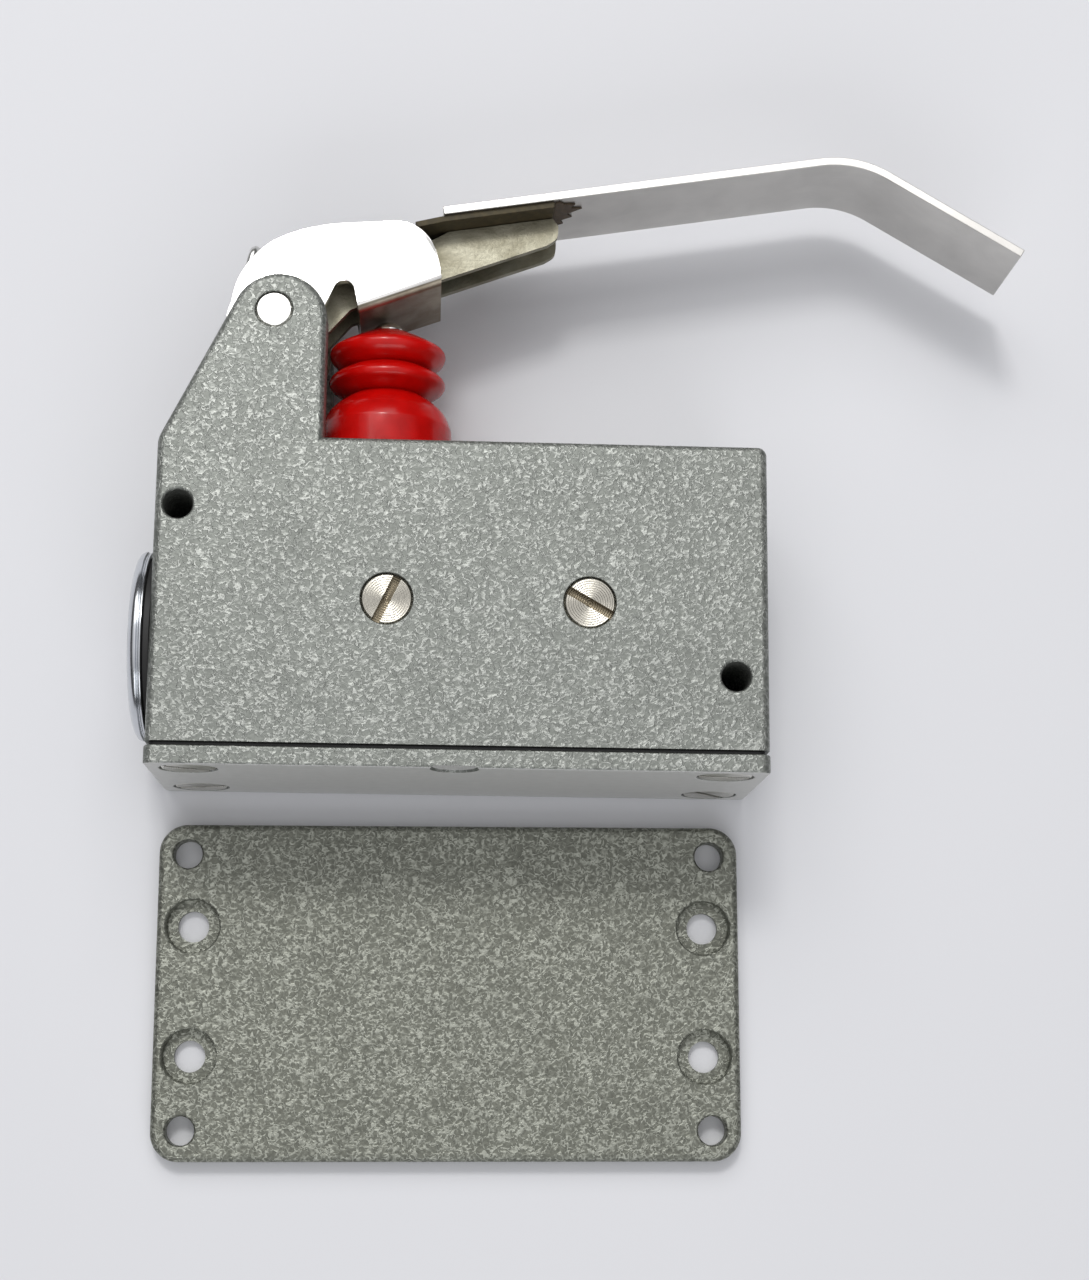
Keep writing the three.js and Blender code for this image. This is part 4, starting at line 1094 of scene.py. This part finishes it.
points = [(place.x, COVER_FACE + 0.05, place.z) for place in COVER_SCREW_PLACES]
turns = [(math.pi / 2, spin, 0) for spin in (0.55, -0.35, 0.15, 0.9)]
cover_screws = grow(
    "cover_screw_set", points, turns, SCREW, TURNED_STEEL,
    **{"Head radius": 3.45, "Head height": 1.6, "Seat radius": 1.55, "Shank radius": 1.45,
       "Length": 8.0, "Slot width": 0.9, "Slot depth": 0.8},
)
soften(cover_screws, 0.06, 50)
nodes = [f"cover_screw_{i}" for i in (1, 2, 3, 4)]
settle(cover_screws, "cover_screw_set", TURNED_STEEL, nodes, "base", 40)

# %% [markdown]
# ### Rivets
# Two soft aluminium rivets hold the leaf, the support plate and the arm together. Each has a low
# crown on the leaf and a plain tail under the arm's roof.


# %% Rivet tree
def rivet_tree():
    sizes = {"Shank radius": 1.2, "Crown radius": 2.1, "Crown height": 0.5, "Length": 3.5}
    tree, given = new_tree("rivet", sizes)
    wide, length, shank_radius = given["Crown radius"], given["Length"], given["Shank radius"]
    inputs = {"Segments": 48, "Rings": 16, "Radius": 1.0}
    ball = add_node(tree, "GeometryNodeMeshUVSphere", inputs).outputs[0]
    inputs = {"X": wide, "Y": wide, "Z": given["Crown height"]}
    shape = add_node(tree, "ShaderNodeCombineXYZ", inputs).outputs[0]
    crown = add_node(tree, "GeometryNodeTransform", {"Geometry": ball, "Scale": shape}).outputs[0]
    middle = compute(tree, "MULTIPLY", length, -0.5)
    shank = raised(tree, cylinder(tree, shank_radius, length), middle)
    tail = cylinder(tree, compute(tree, "ADD", shank_radius, 0.55), 0.45)
    tail = raised(tree, tail, compute(tree, "MULTIPLY", length, -1.0))
    return close_tree(tree, given, copies(tree, given, fused(tree, crown, shank, tail)))


RIVET = rivet_tree()
points = [(x, below_leaf(x, 0.1), MID_Z) for x in (1.6, 7.4)]
rivets = grow("leaf_rivet_pair", points, [(-math.pi / 2, 0, LEAF_SLOPE)] * 2, RIVET, ALUMINIUM)
settle(rivets, "leaf_rivet_pair", ALUMINIUM, ["leaf_rivet_1", "leaf_rivet_2"], "lever", 40)

# %% [markdown]
# ### Coil springs
# A spiral curve swept with a round wire makes both springs in the plunger. The spiral node draws
# along Z, so each spring is turned to stand along the plunger.


# %% Coil spring tree
def coil_tree():
    sizes = {"Coil radius": 3.75, "Height": 13.0, "Turns": 6.0, "Wire": 0.3}
    tree, given = new_tree("coil_spring", sizes)
    inputs = {"Resolution": 40, "Rotations": given["Turns"], "Start Radius": given["Coil radius"]}
    inputs.update({"End Radius": given["Coil radius"], "Height": given["Height"]})
    path = add_node(tree, "GeometryNodeCurveSpiral", inputs).outputs[0]
    return close_tree(tree, given, copies(tree, given, swept(tree, path, given["Wire"], 12)))


COIL = coil_tree()


def coil_spring(name, node, radius, wire, count):
    low, high = span(node)
    height = high.y - low.y - 2 * wire
    return grow(
        name, [(PLUNGER_X, low.y + wire, MID_Z)], [(-math.pi / 2, 0, 0)], COIL, STEEL,
        **{"Coil radius": radius, "Height": height, "Turns": count, "Wire": wire},
    )


return_spring = coil_spring("return_coil", "return_spring", 3.75, 0.3, 6)
settle(return_spring, "return_coil", STEEL, ["return_spring"], angle=60)
overtravel = coil_spring("overtravel_coil", "overtravel_spring", 1.35, 0.22, 6)
settle(overtravel, "overtravel_coil", STEEL, ["overtravel_spring"], angle=60)

# %% [markdown]
# ### The lever's torsion spring
# One wire makes two coils round the pin, with a bow over the top of the lever and two feet on the
# back web of the clevis. Its path is a smooth curve through a few points and the coils.


# %% Torsion spring
def smooth_path(points, steps):
    path = []
    for i in range(len(points) - 1):
        a, b = points[max(i - 1, 0)], points[i]
        c, d = points[i + 1], points[min(i + 2, len(points) - 1)]
        for k in range(steps):
            t = k / steps
            bend = (b * 2 + (c - a) * t + (a * 2 - b * 5 + c * 4 - d) * t * t)
            path.append((bend + (b * 3 - a - c * 3 + d) * t * t * t) / 2)
    return path + [points[-1]]


def sweep_tree():
    tree, given = new_tree("swept_wire", {"Wire": 0.6})
    path = add_node(tree, "GeometryNodeMeshToCurve", {"Mesh": given["Geometry"]}).outputs[0]
    return close_tree(tree, given, swept(tree, path, given["Wire"], 16))


def torsion_half():
    foot_z, coil_radius, steps = 18.35 - MID_Z, 3.45, 28
    start = math.pi * 0.93
    half = [(-30.6, 29.2, foot_z), (-29.3, 32.4, foot_z)]
    for i in range(steps + 1):
        share = i / steps
        angle = start + share * (4 * math.pi - 0.35)
        x, y = PIVOT.x + coil_radius * math.cos(angle), PIVOT.y + coil_radius * math.sin(angle)
        half.append((x, y, foot_z - share * 1.35 * 0.95))
    return half + [(-28.2, 40.6, 4.35), (-28.6, 44.4, 4.35), (-28.0, 47.4, 3.9)]


half = torsion_half()
route = [Vector((x, y, MID_Z + side)) for x, y, side in half] + [Vector((-27.7, 47.9, MID_Z))]
route += [Vector((x, y, MID_Z - side)) for x, y, side in reversed(half)]
route = smooth_path(route, 6)
links = [(i, i + 1) for i in range(len(route) - 1)]
torsion = grow("torsion_wire", route, None, sweep_tree(), STEEL, links, Wire=0.6)
settle(torsion, "torsion_wire", STEEL, ["lever_spring"], angle=60)
print("torsion spring path points:", len(route))

# %% [markdown]
# ## Plunger and its bush
# The plunger is a turned stem with a thin flange inside the rubber and a small domed tip that the
# lever head presses on. The bush that guides it sits in the housing's roof.

# %% Plunger and bush
plunger_high = span("plunger")[1].y
STEM = 2.9
NECK, DOME = 2.1, 2.4
rim = math.acos(NECK / DOME)
dome_middle = plunger_high - DOME
plunger_profile = [(0, 24.2), (1.9, 23.6), (1.9, 13.2), (STEM - 0.2, 13.2), (STEM, 13.4), (STEM, 13.7)]
plunger_profile += [(2.3, 13.7), (2.3, 14.4), (STEM, 14.4), (STEM, 34.4), (4.5, 34.4), (4.5, 35.0)]
plunger_profile += [(STEM, 35.0), (NECK, 35.4)]
for r, h in arc(0, dome_middle, DOME, rim, math.pi / 2, 18):
    plunger_profile.append((max(r, 0.0), h))
plunger_profile[-1] = (0, plunger_high)
axis_place = (PLUNGER_X, 0, MID_Z)
plunger = turned("plunger_body", plunger_profile, "y", axis_place, 72)
settle(plunger, "plunger_stem", NICKEL, ["plunger"], "plunger")

BUSH_BORE, BUSH_RADIUS, BUSH_COLLAR = 3.0, 5.0, 6.4
foot, top = (corner.y for corner in span("plunger_bush"))
collar = HALF_HEIGHT + 0.05
bush_profile = [(BUSH_BORE, foot), (4.8, foot), (BUSH_RADIUS, foot + 0.2), (BUSH_RADIUS, collar)]
bush_profile += [(BUSH_COLLAR, collar), (BUSH_COLLAR, top - 0.15), (6.25, top), (BUSH_BORE, top)]
bush = turned("bush_body", bush_profile, "y", axis_place, 72, ring=True)
settle(bush, "plunger_guide", BRASS, ["plunger_bush"], "base")

# %% [markdown]
# ## The rubber bellows
# A moulded bellows seals the plunger: a wide base, a domed shoulder, two full folds with sharp
# valleys, and a cone that closes on the plunger's tip. One smooth profile is spun round the
# plunger.


# %% Bellows
def smooth_profile(corners, steps=6):
    points = [Vector((r, h, 0)) for r, h in corners]
    return [(p.x, p.y) for p in smooth_path(points, steps)]


base_y, cap_y = (corner.y for corner in span("bellows"))
LOW_VALLEY, HIGH_VALLEY, CONE_FOOT = (4.95, 28.6), (5.5, 32.35), (5.0, 36.45)
shoulder = [(8.65, base_y + 0.2), (8.65, 23.4), (8.5, 24.5), (7.7, 26.2), (6.4, 27.5), LOW_VALLEY]
lower_fold = [LOW_VALLEY, (6.4, 29.2), (7.4, 29.8), (7.68, 30.45), (7.4, 31.1), (6.5, 31.75), HIGH_VALLEY]
upper_fold = [HIGH_VALLEY, (6.5, 32.8), (7.4, 33.6), (7.68, 34.4), (7.4, 35.05), (6.4, 35.7), CONE_FOOT]
closing = [CONE_FOOT, (3.4, 37.25), (2.9, 37.5), (2.25, cap_y)]
outer = [(8.5, base_y)] + smooth_profile(shoulder)
for stretch in (lower_fold, upper_fold, closing):
    outer += smooth_profile(stretch)[1:]
inner = [(2.25, cap_y - 0.9), (5.9, 35.2), (6.7, 34.4), (6.2, 33.7), (4.7, 32.4), (6.3, 31.2)]
inner += [(6.7, 30.5), (6.0, 29.9), (4.2, 28.6), (6.9, 25.7), (7.7, 24.0), (7.7, 22.4)]
inner += [(6.6, 21.9), (6.55, base_y)]
bellows = turned("bellows_body", outer + inner, "y", axis_place, 128, ring=True)
settle(bellows, "bellows_rubber", RED_RUBBER, ["bellows"], angle=50)

# %% [markdown]
# ## Pieces between the base and the lever
# The bellows and both coil springs stand between their feet and the plunger's top, and the
# torsion spring between the housing and the lever. Their placement is baked into their meshes,
# and the heights of their feet and tops are listed beside them.


SQUEEZED = ((bellows, 0.0255, 0.0370), (return_spring, 0.0218, 0.0338), (overtravel, 0.0176, 0.0230))
for thing, foot, top in SQUEEZED:
    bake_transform(thing)
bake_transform(torsion)

# %% [markdown]
# ## Residue under the leaf
# A torn film of old brown residue sticks out past the support plate, against the leaf's underside.
# It moves with the lever.

# %% Residue flake
edge = [(0.0, 11.4), (1.5, 12.0), (1.0, 13.2), (2.6, 14.0), (1.8, 15.2), (3.8, 16.5), (2.2, 17.1)]
edge += [(2.8, 18.2), (1.3, 18.6), (0.7, 19.5), (0.0, 19.2)]
flake = lay_flat(slab("flake_body", edge, 0, 0.24, 0.04, 0.04, 2), 0)
flake_place = (SUPPORT_END + 0.05, below_leaf(SUPPORT_END + 0.05, LEAF_SHEET + 0.02), 0)
flake.data.transform(Matrix.Translation(flake_place) @ Matrix.Rotation(LEAF_SLOPE, 4, "Z"))
settle(flake, "residue_flake", RESIDUE, [], "lever")

# %% [markdown]
# ## Finishes for the hidden parts
# The snap switch inside keeps its CAD shapes. Each part gets the finish of the real one, so that
# it looks right when the housing is taken away.

# %% Hidden parts
HIDDEN = {
    PHENOLIC: "switch_case switch_case_lid",
    FIBRE: "insulator_rear insulator_front",
    RED_PLASTIC: "switch_button",
    BRASS: "terminal_common terminal_normally_closed terminal_normally_open snap_blade earth_washer",
    STEEL: "terminal_screw_common terminal_screw_normally_closed terminal_screw_normally_open "
           "earth_screw plunger_clip push_pin",
    SILVER: "moving_contact",
}
hidden_nodes = [(node, finish) for finish, nodes in HIDDEN.items() for node in nodes.split()]
for node, finish in hidden_nodes:
    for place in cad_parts[node].material_slots:
        place.material = finish
print("hidden parts finished:", len(hidden_nodes))
